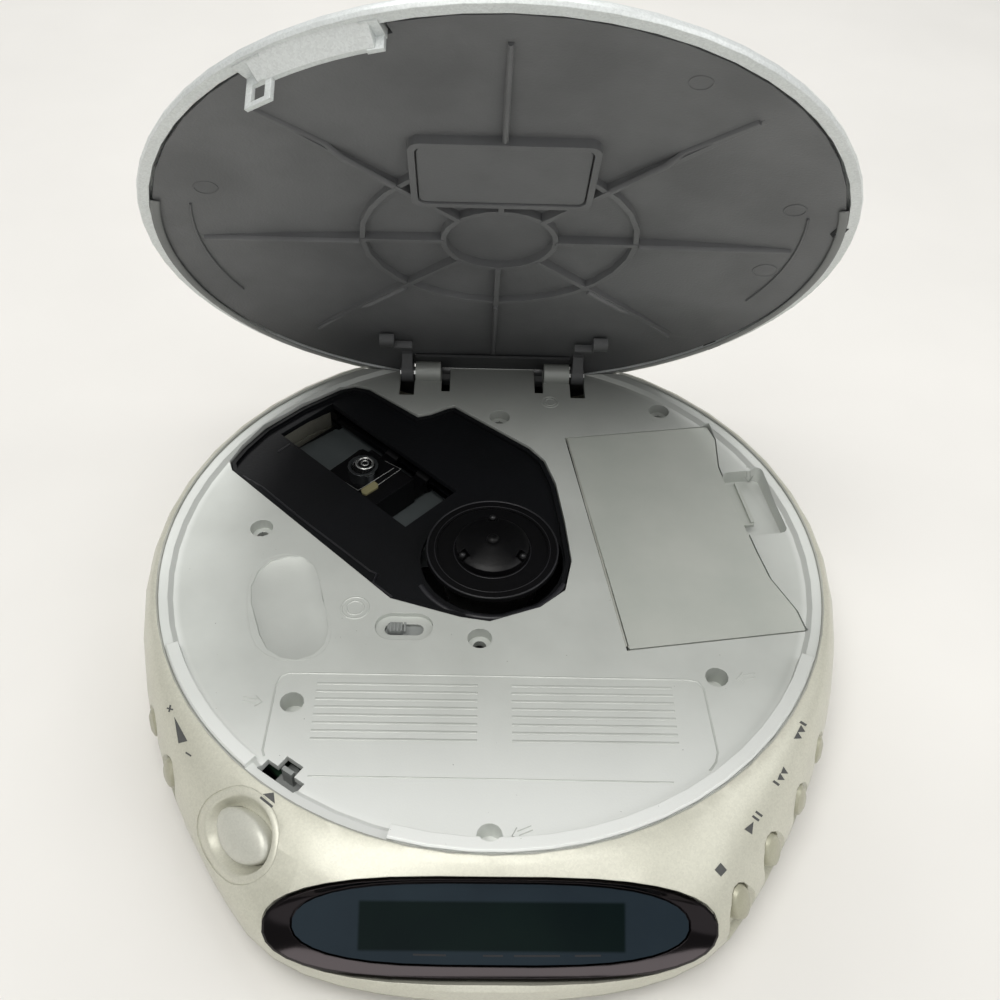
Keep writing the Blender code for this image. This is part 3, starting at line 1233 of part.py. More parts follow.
def lid_level(r, crown, edge_r, edge_z, power=2.2):
    """Height of a domed face at a radius, from its crown down to its edge."""
    return edge_z + (crown - edge_z) * (1 - (r / edge_r) ** power)


def oval_lid(shape):
    """The lid's outline is a little narrower from side to side."""
    return moved(shape, Matrix.Diagonal((LID_SIDE_SHARE, 1, 1, 1)))


def lid_crown(r):
    return lid_level(r, LID_RIM_Z + LID_RISE, LID_R * LID_SHOULDER_SHARE, LID_RIM_Z + LID_SHOULDER_RISE)


def liner_ceiling(r):
    return lid_level(r, LINER_CROWN, RIB_END_R, RIB_Z)


def make_lid(player):
    axis = empty("lid_axis", (0, HINGE_Y, HINGE_Z), player, Matrix.Rotation(-LID_OPEN, 4, "X"))
    closed = Matrix.Translation((0, -HINGE_Y, -HINGE_Z))
    top = LID_RIM_Z + LID_RISE
    crown = [(LID_R * share, lid_crown(LID_R * share)) for share in CROWN_SHARES]
    outer = [(0, top)] + crown + [(LID_R * 0.972, LID_RIM_Z + LID_SHOULDER_RISE * 0.76),
                                  (LID_R - GAP, LID_RIM_Z + LID_WALL * 1.3),
                                  (LID_R, LID_RIM_Z + LID_WALL / 2), (LID_R - GAP, LID_RIM_Z)]
    inner_r = LID_R - LID_BAND
    inner = [(inner_r, LID_RIM_Z), (inner_r, LID_RIM_Z + LID_WALL * 1.3)]
    inner += [(r, z - LID_WALL) for r, z in crown[::-1]] + [(0, top - LID_WALL)]
    shell = solid("lid_shell", "silver", moved(oval_lid(turned(outer + inner, ROUND)), closed), axis)

    for label, angle, width, low in (("latch", LATCH_ANGLE, LATCH_W, LATCH_Z),
                                     ("tab", TAB2_ANGLE, TAB2_W, TAB2_Z)):
        place = radial(angle, LATCH_R)
        frame = closed @ about(place.x, place.y, angle)
        add(shell, label, block(-width / 2, width / 2, -LID_BAND * 1.4, SKIRT_T, LID_RIM_Z - SINK,
                                LID_RIM_Z + LID_WALL * 1.1, frame), axis)
        add(shell, label + "_leg", block(-width / 2 + SINK / 2, width / 2 - SINK / 2, 0,
                                         SKIRT_T - SINK / 2, low, LID_RIM_Z + LID_WALL, frame), axis)
    rows = []
    for k in range(SKIRT_STEPS + 1):
        angle = LATCH_ANGLE + (TAB2_ANGLE - LATCH_ANGLE) * k / SKIRT_STEPS
        rows.append([radial(angle, SKIRT_R - SKIRT_T, SKIRT_Z), radial(angle, SKIRT_R, SKIRT_Z),
                     radial(angle, LID_R - LID_BAND / 2, LID_RIM_Z + SINK),
                     radial(angle, LID_R - LID_BAND / 2, LID_RIM_Z + LID_WALL),
                     radial(angle, SKIRT_R - SKIRT_T, LID_RIM_Z + LID_WALL)])
    add(shell, "skirt", moved(skin(rows), closed), axis)
    place = radial(LATCH_ANGLE, LATCH_R)
    hole = LATCH_HOLE / 2
    frame = closed @ about(place.x, place.y, LATCH_ANGLE, LATCH_HOLE_Z)
    cut(shell, "latch_hole", block(-hole, hole, -OVERRUN, OVERRUN * 2, -hole, hole, frame), axis)
    cut_notches(shell, axis, closed, 0)
    make_liner(player, axis, closed)
    return axis


def cut_notches(piece, axis, closed, by):
    """Room for the deck's tongue in the middle, and beside it for the knuckles that the shell bridges."""
    half, end = TONGUE_HALF + by, LID_R + OVERRUN
    cut(piece, "notch", block(-half, half, LID_TONGUE_Y - by, end, -BASE_H, BASE_H, closed), axis)
    over = KNUCKLE_R + HINGE_Z + GAP
    for side, label in ((-1, "left"), (1, "right")):
        a, b = sorted((side * (half - SINK), side * (NOTCH_HALF + by)))
        cut(piece, "knuckle_" + label, block(a, b, LID_NOTCH_Y - by, end, -BASE_H, over, closed), axis)
        behind = block(a, b, LID_BRIDGE_Y - by, end + OVERRUN, -BASE_H, BASE_H + OVERRUN, closed)
        cut(piece, "edge_" + label, behind, axis)


def make_liner(player, axis, closed):
    edge_r = LID_R - LID_BAND - GAP * 2
    edge = LID_RIM_Z + GAP
    shares = (0.4, 0.7, 0.9)
    arch = [(edge_r * s, liner_ceiling(edge_r * s)) for s in shares]
    under = [(0, liner_ceiling(0))] + arch + [(edge_r, edge)]
    upper = [(edge_r, edge + LINER_WALL * 0.8)] + [(r, z + LINER_WALL) for r, z in arch[::-1]]
    upper += [(0, liner_ceiling(0) + LINER_WALL)]
    liner = solid("lid_liner", "grey", moved(oval_lid(turned(under + upper, LINER_STEPS)), closed), axis)
    for i in range(RIB_COUNT):
        angle = 2 * math.pi * i / RIB_COUNT
        rib = []
        reach = (RIB_END_R - RING_IN_R)
        for k in range(4):
            r = RING_IN_R + reach * k / 3
            rib.append((r, liner_ceiling(r) + LINER_WALL * 0.5))
        outline = [(RING_IN_R, RIB_Z), (RIB_END_R, RIB_Z)] + rib[::-1]
        shape = skin([[(side * RIB_W / 2, r, z) for r, z in outline] for side in (-1, 1)])
        add(liner, f"rib_{i}", moved(shape, closed @ Matrix.Rotation(angle, 4, "Z")), axis)
    for label, r in (("inner", RING_IN_R), ("outer", RING_OUT_R)):
        wall = ring(r - RIB_W / 2, r + RIB_W / 2, RIB_Z + SINK, liner_ceiling(r) + LINER_WALL / 2,
                    ROUND_MID, closed)
        add(liner, "ring_" + label, wall, axis)
    top = liner_ceiling(-PLATE_Y) + LINER_WALL / 2
    frame = closed @ about(0, PLATE_Y)
    outer = rounded(PLATE_W, PLATE_D, PLATE_ROUND, 4)
    add(liner, "plate_frame", prism(outer, PLATE_Z, top, frame), axis)
    b = PLATE_FRAME
    seat = rounded(PLATE_W - b * 2, PLATE_D - b * 2, PLATE_ROUND - b / 2, 4)
    cut(liner, "plate_seat", prism(seat, PLATE_Z - OVERRUN, PLATE_Z + PLATE_T, frame), axis)
    plate = rounded(PLATE_W - (b + GAP) * 2, PLATE_D - (b + GAP) * 2, PLATE_ROUND - b / 2 - GAP / 2, 4)
    solid("lid_plate", "grey", prism(plate, PLATE_Z + GAP, PLATE_Z + PLATE_T - GAP, frame), axis)
    cut_notches(liner, axis, closed, GAP)
    margin = GAP / SKIRT_R
    start, end = LATCH_ANGLE - LATCH_W / 2 / SKIRT_R - margin * 2, TAB2_ANGLE + TAB2_W / 2 / SKIRT_R + margin * 2
    sweep = [start + (end - start) * k / SKIRT_STEPS for k in range(SKIRT_STEPS + 1)]
    sector = [radial(a, SKIRT_R - SKIRT_T - GAP * 2) for a in sweep]
    sector += [radial(a, LID_R) for a in sweep[::-1]]
    cut(liner, "skirt_room", prism([(p.x, p.y) for p in sector], -BASE_H, BASE_H, closed), axis)
    for side, label in ((-1, "left"), (1, "right")):
        a, b = sorted((side * LUG_IN, side * LUG_OUT))
        add(liner, "lug_" + label, disc(KNUCKLE_R, a, b, ROUND_SMALL, ALONG_X), axis)
        web = [(KNUCKLE_R * y, KNUCKLE_R * z) for y, z in WEB_SHARES]
        web = side_prism(web, a + SINK, b - SINK)
        add(liner, "web_" + label, web, axis)
        cut(liner, "lug_bore_" + label,
            disc(PIN_R + GAP, a - OVERRUN / 5, b + OVERRUN, ROUND_TINY, ALONG_X), axis)


def make_latch(player):
    """The slider under the rim that holds the lid's tab; the open button drives it toward the spindle."""
    frame = latch_frame()
    axis = empty("latch_axis", frame.translation, player, Matrix.Rotation(LATCH_ANGLE, 4, "Z"))
    w = SLIDER_W / 2
    z = SLIDER_Z
    run = SKIRT_T + RUN_GAP
    slider = solid("latch_slider", "black", block(-w, w, -OPEN_L * 0.34, SLIDER_W, z, z + SLIDER_T), axis)
    post = block(-w * 0.5, w * 0.5, run, run + SLIDER_T * 0.7, z + SINK, LATCH_HOLE_Z + SLIDER_T / 2)
    add(slider, "post", post, axis)


def make_hold_switch(player):
    axis = empty("hold_axis", (HOLD_X - HOLD_TRAVEL / 2, HOLD_Y, FLOOR_Z - HOLD_DEPTH), player)
    knob_l, knob_w = HOLD_KNOB_L, HOLD_KNOB_W
    under = -(DECK_WALL - HOLD_DEPTH) - GAP
    rows = [[(x, y, under - SINK) for x, y in rounded(knob_l, knob_w, knob_w * 0.4, 3)],
            [(x, y, HOLD_DEPTH + HOLD_RISE - GAP) for x, y in rounded(knob_l, knob_w, knob_w * 0.4, 3)],
            [(x * 0.8, y * 0.75, HOLD_DEPTH + HOLD_RISE) for x,
             y in rounded(knob_l, knob_w, knob_w * 0.4, 3)]]
    knob = solid("hold_switch", "grey", skin(rows), axis)
    foot = block(-knob_l * 0.8, knob_l * 0.8, -knob_w, knob_w, under - BOARD_T, under)
    add(knob, "foot", foot, axis)


def make_boards(player):
    board = prism(anticlockwise(from_shares(BOARD_OUTLINE_SHARES, DISC_R)), BOARD_Z - BOARD_T, BOARD_Z)
    solid("main_board", "board", board, player)


def make_jacks(player, cabinet):
    for name, degrees in JACK_ANGLES:
        angle = math.radians(degrees)
        place = radial(angle, widest(angle), JACK_Z)
        frame = about(place.x, place.y, angle, place.z) @ Matrix.Rotation(math.pi / 2, 4, "X")
        back = -CABINET_WALL - JACK_SET
        nose = JACK_NOSE_R
        cut(cabinet, name, disc(nose + GAP, back - OVERRUN * 2, OVERRUN * 2, ROUND_SMALL, frame), player)
        jack = disc(nose, back - SINK, -GAP, ROUND_SMALL, frame)
        piece = solid(name, "black", jack, player)
        side = JACK_W / 2 + GAP
        room = block(-side, side, -side, side, back - JACK_L - OVERRUN, back + GAP, frame)
        cut(cabinet, name + "_room", room, player)
        side = JACK_W / 2
        body = block(-side, side, -side, side, back - JACK_L, back, frame)
        add(piece, "body", body, player)
        cut(piece, "bore", disc(JACK_BORE_R, back - JACK_L * 0.8, OVERRUN, ROUND_TINY, frame), player)


def weld(piece):
    """Closes up the hair-thin triangles that chained cuts leave."""
    step = piece.modifiers.new("weld", "WELD")
    step.merge_threshold = WELD_REACH


def build():
    for item in list(bpy.data.objects):
        bpy.data.objects.remove(item)
    player = empty("player", (0, SPINDLE_Y, BASE_H))
    cabinet = make_cabinet(player)
    make_display(player, cabinet)
    make_open_button(player, cabinet)
    make_keys(player, cabinet)
    shell = make_bottom(player)
    feet(player, shell)
    deck = make_deck(player)
    deck_features(player, deck)
    cut(cabinet, "recess_room", recess_room(), player)
    x, y = from_shares(SUNK_PLACE_SHARES, DISC_R)[-1]
    low = FLOOR_Z - SUNK_DEPTH - DECK_WALL / 2 - GAP
    cut(cabinet, "sunk_room", disc(SUNK_R + DECK_WALL / 2 + GAP, low, OVERRUN, ROUND_SMALL, about(x, y)),
        player)
    hinge_features(player, deck)
    make_lid(player)
    make_door(player)
    make_batteries(player)
    make_mechanism(player)
    make_latch(player)
    make_hold_switch(player)
    make_boards(player)
    make_jacks(player, cabinet)
    for name in PIERCED:
        weld(bpy.data.objects[name])


build()
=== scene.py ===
"""Looks of the portable disc player: finishes for its parts, the small details, and the studio."""
import json
import math

import bmesh
import bpy
from mathutils import Matrix, Vector
from mathutils.bvhtree import BVHTree

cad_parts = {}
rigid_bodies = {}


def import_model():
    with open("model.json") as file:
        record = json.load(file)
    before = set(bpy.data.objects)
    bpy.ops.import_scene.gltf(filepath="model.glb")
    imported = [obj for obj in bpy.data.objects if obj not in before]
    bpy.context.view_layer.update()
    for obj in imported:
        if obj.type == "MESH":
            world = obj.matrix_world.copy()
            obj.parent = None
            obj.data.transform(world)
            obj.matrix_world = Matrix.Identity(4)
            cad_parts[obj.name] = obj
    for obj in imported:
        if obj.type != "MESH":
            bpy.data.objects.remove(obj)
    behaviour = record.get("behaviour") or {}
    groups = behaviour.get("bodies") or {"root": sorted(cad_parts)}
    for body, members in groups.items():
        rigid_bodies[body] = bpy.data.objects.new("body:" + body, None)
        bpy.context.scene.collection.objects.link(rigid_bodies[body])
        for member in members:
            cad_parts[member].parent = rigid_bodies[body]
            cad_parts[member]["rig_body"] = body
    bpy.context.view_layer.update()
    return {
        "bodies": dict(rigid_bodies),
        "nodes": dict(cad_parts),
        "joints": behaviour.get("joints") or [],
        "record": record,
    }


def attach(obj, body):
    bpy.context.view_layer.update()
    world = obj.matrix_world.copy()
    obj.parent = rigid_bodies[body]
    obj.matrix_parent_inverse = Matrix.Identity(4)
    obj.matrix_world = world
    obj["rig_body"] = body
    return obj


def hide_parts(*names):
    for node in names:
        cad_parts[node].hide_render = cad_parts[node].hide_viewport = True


MM = 0.001
SPINDLE = Vector((0, 6.474, 22.1)) * MM
HINGE = SPINDLE + Vector((0, 56.0, -0.8)) * MM
LID_OPEN = math.radians(60.5)
UP = Vector((0, 0, 1))
DOUBLES = 0.002 * MM  # Corners nearer than this are one
CREASE = math.radians(50)  # A new piece's sharper edges stay crisp
CAD_CREASE = math.radians(32)
SCREW_CREASE = math.radians(40)
FLAT = math.radians(0.5)  # Faces that turn less than this from each other become one
PLUMB_FROM = 30.0  # Millimetres from the spindle's level at which a plumb line starts
MARK_STEP = 3  # Pixels between the points of an inked edge

# Specks of dust in a finish: the cell that may hold one, a speck's radius as a share of it, and its strength
SPECK_CELL = 3.4 * MM
SPECK_R = 0.055
SPECK_SHARE = 0.6

# Sections of what is laid on a surface, as shares of its width and height
BEAD_SECTION = ((-0.5, -0.4), (-0.42, 0.55), (-0.2, 1.0), (0.2, 1.0), (0.42, 0.55), (0.5, -0.4))
BAR_SECTION = ((1.0, -0.3), (1.0, 0.5), (0.6, 1.0))

# The display's dark field, seen through the window
LCD_X = (-20.6 * MM, 20.9 * MM)
LCD_Y = (SPINDLE.y - 75.2 * MM, SPINDLE.y - 69.2 * MM)

# The photograph's camera
CAMERA_PLACE = Vector((-0.004162, -0.138722, 0.180694))
CAMERA_DOWN = math.radians(44.997)
CAMERA_YAW = math.radians(2.061)
CAMERA_ROLL = math.radians(2.509)
CAMERA_LENS = 39.32
FRAME_PX = 1000
FOCUS_PX = CAMERA_LENS / 36 * FRAME_PX


def place(x, y, z=0.0):
    """A point given in millimetres from the spindle, at the height of the disc well's rim."""
    return SPINDLE + Vector((x, y, z)) * MM


def opened():
    """Turns the lid from closed to its place at rest."""
    return Matrix.Translation(HINGE) @ Matrix.Rotation(-LID_OPEN, 4, "X") @ Matrix.Translation(-HINGE)


def linear(code):
    """A Blender colour from an sRGB hex value."""
    parts = [int(code[i:i + 2], 16) / 255 for i in (1, 3, 5)]
    return tuple(c / 12.92 if c <= 0.04045 else ((c + 0.055) / 1.055) ** 2.4 for c in parts) + (1.0,)


def fed(tree, item, feeds):
    """Gives a node's inputs their values, or the sockets that feed them."""
    for name, value in feeds.items():
        if isinstance(value, bpy.types.NodeSocket):
            tree.links.new(value, item.inputs[name])
        else:
            item.inputs[name].default_value = value
    return item


def add(tree, kind, feeds, stops=(), **settings):
    """Adds a node with its settings, what feeds it and, on a colour ramp, its stops."""
    item = tree.nodes.new(kind)
    for name, value in settings.items():
        setattr(item, name, value)
    for k, (at, colour) in enumerate(stops):
        band = item.color_ramp.elements
        element = band[k] if k < len(band) else band.new(at)
        element.position = at
        element.color = colour
    return fed(tree, item, feeds)


def begin(name, **sockets):
    """A new material with its shader's plain values set on their own sockets."""
    material = bpy.data.materials.new(name)
    material.use_nodes = True
    tree = material.node_tree
    shader = fed(tree, tree.nodes["Principled BSDF"], {key.replace("_", " "): v for key, v in sockets.items()})
    return material, tree, shader, add(tree, "ShaderNodeTexCoord", {}).outputs["Object"]


def relief(tree, shader, height, depth_mm, edge_mm):
    """Moulded relief of a real depth, over edges rounded by a small radius."""
    soft = add(tree, "ShaderNodeBevel", {"Radius": edge_mm * MM}, samples=4)
    bump = add(tree, "ShaderNodeBump", {"Height": height, "Distance": depth_mm * MM, "Strength": 1.0,
                                        "Normal": soft.outputs["Normal"]})
    fed(tree, shader, {"Normal": bump.outputs["Normal"]})


def clouded(tree, spot, size_mm, detail, dark, light):
    """Broad clouds of a real size, and the two tones that follow them; each tone is a place and a colour."""
    clouds = add(tree, "ShaderNodeTexNoise", {"Vector": spot, "Scale": 1 / (size_mm * MM), "Detail": detail})
    stops = [(at, linear(tone)) for at, tone in (dark, light)]
    return clouds.outputs["Fac"], add(tree, "ShaderNodeValToRGB", {"Fac": clouds.outputs["Fac"]},
                                      stops=stops).outputs[0]


def moulded(name, light, dark, roughness, grain_mm, depth_mm, specks=0.0, **sockets):
    """Injection-moulded plastic: two close tones in broad clouds, a fine spark-eroded grain and soft edges."""
    material, tree, shader, spot = begin(name, **sockets)
    clouds, colour = clouded(tree, spot, 18, 4.0, (0.35, dark), (0.62, light))
    if specks:
        dots = add(tree, "ShaderNodeTexVoronoi", {"Vector": spot, "Scale": 1 / SPECK_CELL})
        near = add(tree, "ShaderNodeMath", {0: dots.outputs["Distance"], 1: SPECK_R}, operation="LESS_THAN")
        some = add(tree, "ShaderNodeSeparateColor", {"Color": dots.outputs["Color"]})
        few = add(tree, "ShaderNodeMath", {0: some.outputs["Red"], 1: 1 - specks}, operation="GREATER_THAN")
        both = add(tree, "ShaderNodeMath", {0: near.outputs[0], 1: few.outputs[0]}, operation="MULTIPLY")
        soft = add(tree, "ShaderNodeMath", {0: both.outputs[0], 1: SPECK_SHARE}, operation="MULTIPLY")
        colour = add(tree, "ShaderNodeMix", {0: soft.outputs[0], 6: colour, 7: linear("#3c3b38")},
                     data_type="RGBA").outputs[2]
    grain = add(tree, "ShaderNodeTexNoise", {"Vector": spot, "Scale": 1 / (grain_mm * MM), "Detail": 2.0})
    gloss = add(tree, "ShaderNodeMapRange", {"Value": clouds, "To Min": roughness + 0.05, "To Max": roughness - 0.05})
    fed(tree, shader, {"Base Color": colour, "Roughness": gloss.outputs[0]})
    relief(tree, shader, grain.outputs["Fac"], depth_mm, 0.15)
    return material


def scratched(tree, spot):
    """Fine handling scratches, 0.5 mm wide and 26 mm long: a stretched noise cut to thin bright lines."""
    aligned = add(tree, "ShaderNodeMapping", {"Vector": spot, "Rotation": (0.3, 0.2, 0.7),
                                              "Scale": (1 / (0.5 * MM), 1 / (26 * MM), 1 / (4 * MM))})
    lines = add(tree, "ShaderNodeTexNoise", {"Vector": aligned.outputs[0], "Scale": 1.0, "Detail": 1.0})
    return add(tree, "ShaderNodeValToRGB", {"Fac": lines.outputs["Fac"]},
               stops=((0.70, (0, 0, 0, 1)), (0.74, (1, 1, 1, 1)))).outputs[0]


def pearl_paint(name, light, dark, flake):
    """Pearl lacquer over moulded ABS: warm and cool clouds, a fine flake that twinkles, worn to satin."""
    material, tree, shader, spot = begin(name, Metallic=0.25, Coat_Weight=0.25, Coat_Roughness=0.25)
    base = clouded(tree, spot, 22, 5.0, (0.33, dark), (0.66, light))[1]
    flakes = add(tree, "ShaderNodeTexVoronoi", {"Vector": spot, "Scale": 1 / (0.28 * MM)})
    tint = add(tree, "ShaderNodeSeparateColor", {"Color": flakes.outputs["Color"]})
    bright = add(tree, "ShaderNodeMapRange", {"Value": tint.outputs["Red"], "To Min": 1 - flake, "To Max": 1 + flake})
    colour = add(tree, "ShaderNodeMix", {0: 1.0, 6: base, 7: bright.outputs[0]}, data_type="RGBA",
                 blend_type="MULTIPLY")
    rough = add(tree, "ShaderNodeMapRange", {"Value": scratched(tree, spot), "To Min": 0.40, "To Max": 0.52})
    fed(tree, shader, {"Base Color": colour.outputs[2], "Roughness": rough.outputs[0]})
    orange = add(tree, "ShaderNodeTexNoise", {"Vector": spot, "Scale": 1 / (0.9 * MM), "Detail": 1.0})
    relief(tree, shader, orange.outputs["Fac"], 0.012, 0.22)
    return material


def plated(name, colour, roughness, edge_mm):
    """Plated or polished metal: one reflective colour, smudged a little so that its gloss isn't even."""
    material, tree, shader, spot = begin(name, Metallic=1.0, Base_Color=linear(colour))
    smear = add(tree, "ShaderNodeTexNoise", {"Vector": spot, "Scale": 1 / (7 * MM), "Detail": 4.0})
    rough = add(tree, "ShaderNodeMapRange", {"Value": smear.outputs["Fac"], "To Min": roughness * 0.6,
                                             "To Max": roughness * 1.5})
    fed(tree, shader, {"Roughness": rough.outputs[0]})
    relief(tree, shader, smear.outputs["Fac"], 0.01, edge_mm)
    return material


def inked(name, colour):
    """Pad-printed ink: one matt tone with the slight unevenness of a print."""
    material, tree, shader, spot = begin(name, Roughness=0.6)
    patch = add(tree, "ShaderNodeTexNoise", {"Vector": spot, "Scale": 1 / (0.5 * MM)})
    level = add(tree, "ShaderNodeMapRange", {"Value": patch.outputs["Fac"], "To Min": 0.85, "To Max": 1.2})
    tone = add(tree, "ShaderNodeHueSaturation", {"Color": linear(colour), "Value": level.outputs[0]})
    fed(tree, shader, {"Base Color": tone.outputs[0]})
    return material


def window_panel(name):
    """Smoked acrylic window over a dark mask: glossy, blue-black, with a blacker green field where the LCD lies."""
    material, tree, shader, spot = begin(name, Roughness=0.2, Specular_IOR_Level=0.08)
    split = add(tree, "ShaderNodeSeparateXYZ", {"Vector": spot})
    edges = []
    for axis, ends, soft in (("X", LCD_X, 0.3 * MM), ("Y", LCD_Y, 0.25 * MM)):
        for at, turn in zip(ends, (1, -1)):
            edge = add(tree, "ShaderNodeMapRange", {"Value": split.outputs[axis], "From Min": at - turn * soft,
                                                    "From Max": at + turn * soft}, interpolation_type="SMOOTHSTEP")
            edges.append(edge.outputs[0])
    field = edges[0]
    for edge in edges[1:]:
        field = add(tree, "ShaderNodeMath", {0: field, 1: edge}, operation="MULTIPLY").outputs[0]
    haze, mask = clouded(tree, spot, 14, 3.0, (0.3, "#1e272e"), (0.7, "#222c33"))
    glass = clouded(tree, spot, 14, 3.0, (0.3, "#040f10"), (0.7, "#071513"))[1]
    colour = add(tree, "ShaderNodeMix", {0: field, 6: mask, 7: glass}, data_type="RGBA").outputs[2]
    fed(tree, shader, {"Base Color": colour})
    relief(tree, shader, haze, 0.004, 0.15)
    return material


def clear_acrylic(name):
    """Polished clear acrylic with a coating whose blue cast shifts a little."""
    material, tree, shader, spot = begin(name, Roughness=0.03, IOR=1.49, Transmission_Weight=1.0)
    tone = clouded(tree, spot, 3, 2.0, (0.3, "#f2f6ff"), (0.7, "#ffffff"))[1]
    fed(tree, shader, {"Base Color": tone})
    return material


def paint_light_zone(material, tint, low, high, share, axis):
    """Leans a finish toward a tint along one axis or out from the spindle: painted light and shade."""
    tree = material.node_tree
    shader = next(node for node in tree.nodes if node.type == "BSDF_PRINCIPLED")
    plain = shader.inputs["Base Color"].links[0].from_socket
    spot = add(tree, "ShaderNodeTexCoord", {}).outputs["Object"]
    if axis:
        reach = add(tree, "ShaderNodeSeparateXYZ", {"Vector": spot}).outputs[axis]
    else:
        offset = add(tree, "ShaderNodeVectorMath", {0: spot, 1: tuple(SPINDLE)}, operation="SUBTRACT").outputs[0]
        flat = add(tree, "ShaderNodeVectorMath", {0: offset, 1: (1, 1, 0)}, operation="MULTIPLY").outputs[0]
        reach = add(tree, "ShaderNodeVectorMath", {0: flat}, operation="LENGTH").outputs["Value"]
    zone = add(tree, "ShaderNodeMapRange", {"Value": reach, "From Min": low * MM, "From Max": high * MM,
                                            "To Max": share}, interpolation_type="SMOOTHSTEP")
    toned = add(tree, "ShaderNodeMix", {0: zone.outputs[0], 6: plain, 7: linear(tint)}, data_type="RGBA").outputs[2]
    fed(tree, shader, {"Base Color": toned})


# Painted light and shade, where a finish leans toward a tint: from and to in millimetres, the share at the far end, and
# the axis
PAINTED_LIGHT_ZONES = (
    ("pearl", "#1d1e1f", 64.0, 63.6, 1.0, None),  # the wall's inner side, always in shadow
    ("deck_silver", "#eceeeb", 60.0, 61.2, 0.3, None),  # the raised rim, lighter: a painted highlight
    ("deck_silver", "#f4f6f3", -18, -58, 0.75, "Y"),  # the front, where the light falls
    ("deck_silver", "#5a5c59", 34, 70, 0.75, "Y"),  # the back, shaded by the lid
    ("liner_grey", "#242526", 54, 26, 0.7, "Z"),  # the lid's lower part, shaded by its own dish
)


def make_finishes():
    """Every finish of the player, by the name that its pieces use."""
    made = {
        "pearl": pearl_paint("Pearl lacquer on ABS", "#cccbbd", "#c0bfb0", 0.05),
        "key_pearl": pearl_paint("Pearl lacquer on keys", "#adac98", "#a3a18d", 0.04),
        "button_pearl": pearl_paint("Pearl lacquer on the open button", "#c9c9bf", "#bebeb3", 0.04),
        "lid_silver": pearl_paint("Silver lacquer on the lid", "#dde1e0", "#d3d7d6", 0.07),
        "deck_silver": moulded("Silver ABS, satin moulded", "#c6c9c4", "#bcbfba", 0.44, 0.35, 0.012,
                               specks=0.012, Metallic=0.3),
        "door_silver": moulded("Silver ABS, battery door", "#bbbeb7", "#b2b6af", 0.46, 0.35, 0.012,
                               specks=0.006, Metallic=0.25),
        "liner_grey": moulded("Grey ABS, spark-eroded", "#6b6c6d", "#5f6061", 0.55, 0.45, 0.05, specks=0.004),
        "switch_grey": moulded("Grey POM, switch knob", "#8d908e", "#7f8280", 0.42, 0.4, 0.02),
        "cover_black": moulded("Black ABS, spark-eroded cover", "#0a0b0e", "#060709", 0.5, 0.5, 0.04,
                               Specular_IOR_Level=0.22),
        "part_black": moulded("Black POM, mechanism parts", "#08080a", "#050506", 0.38, 0.6, 0.02,
                              Specular_IOR_Level=0.2),
        "rubber": moulded("Black rubber, matt", "#1a1a1b", "#111112", 0.75, 0.8, 0.03),
        "board": moulded("Green FR4 board", "#2b4a34", "#20402a", 0.45, 1.6, 0.02),
        # liner grey over the rim's face: partly its own grey, partly painted shade
        "rim_shade_grey": moulded("Grey ABS, liner grey and painted shade on the rim", "#767877", "#6b6d6c", 0.5, 0.4, 0.02),
        # dark grey for the hinge lip and the slot webs: painted shade
        "lip_painted_shade": moulded("Grey ABS, painted shade at the hinge lip", "#2c2d2e", "#232425", 0.6, 0.5, 0.03),
        "screw_steel": plated("Screw head, dull zinc", "#7b7c7a", 0.3, 0.1),
        "rod_steel": plated("Oiled steel rod, dark", "#33353a", 0.25, 0.05),
        "cell_wrap": moulded("Cell wrap, plain grey film", "#9a9ea1", "#8b8f93", 0.35, 2.0, 0.01, Metallic=0.5),
        "chip_cream": moulded("Cream resin, small part", "#7d785a", "#6c6749", 0.5, 0.5, 0.02),
        "dark_chrome": plated("Smoked chrome on ABS", "#272425", 0.1, 0.2),
        "steel": plated("Zinc plated steel", "#b9bab8", 0.28, 0.08),
        "bright_steel": plated("Polished steel rod", "#cfd0ce", 0.16, 0.05),
        "window": window_panel("Smoked acrylic window"),
        "ink": inked("Dark grey pad print", "#4a4b4a"),
        "dust": inked("Dark dust", "#55534e"),
        # grey in the seams and gaps: painted shade of the gap
        "seam_shade_grey": moulded("Grey in the seams, painted gap shade", "#a9aaa3", "#96978f", 0.7, 0.4, 0.03),
        "gloss_black": moulded("Black PPS, pickup body", "#060607", "#030304", 0.22, 0.6, 0.006,
                               Specular_IOR_Level=0.3),
        "sheet_grey": moulded("Grey lacquered chassis sheet", "#484d4e", "#3d4243", 0.5, 0.6, 0.01),
        # lighter black on ridges and rings: painted edge highlights
        "edge_highlight_black": moulded("Black ABS, painted edge highlights", "#242428", "#18181b", 0.4, 0.5, 0.03),
        "lens_ring": plated("Lens mount, bright moulded ring", "#8d9193", 0.16, 0.06),
        "embossed": moulded("Silver ABS, raised lines", "#c4c7c2", "#b8bbb6", 0.42, 0.3, 0.01, Metallic=0.3),
        "turntable_rubber": moulded("Black rubber, turntable", "#060608", "#030304", 0.5, 0.6, 0.02, specks=0.12,
                                   Specular_IOR_Level=0.15),
        "dull_steel": plated("Blackened steel balls", "#3a3a3b", 0.4, 0.05),
        "faint_ink": inked("Black print under the window", "#0b0f14"),
        "clear": clear_acrylic("Clear acrylic lens"),
    }
    # Painted light and shade, laid over the finishes
    for finish, *zone in PAINTED_LIGHT_ZONES:
        paint_light_zone(made[finish], *zone)
    return made


def show(piece, body, finish):
    """Gives a new piece its finish and lets it ride on its body."""
    piece.data.materials.clear()
    piece.data.materials.append(finish)
    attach(piece, body)
    return piece


def object_from(name, data):
    """An object of some data, linked to the scene."""
    item = bpy.data.objects.new(name, data)
    bpy.context.scene.collection.objects.link(item)
    return item


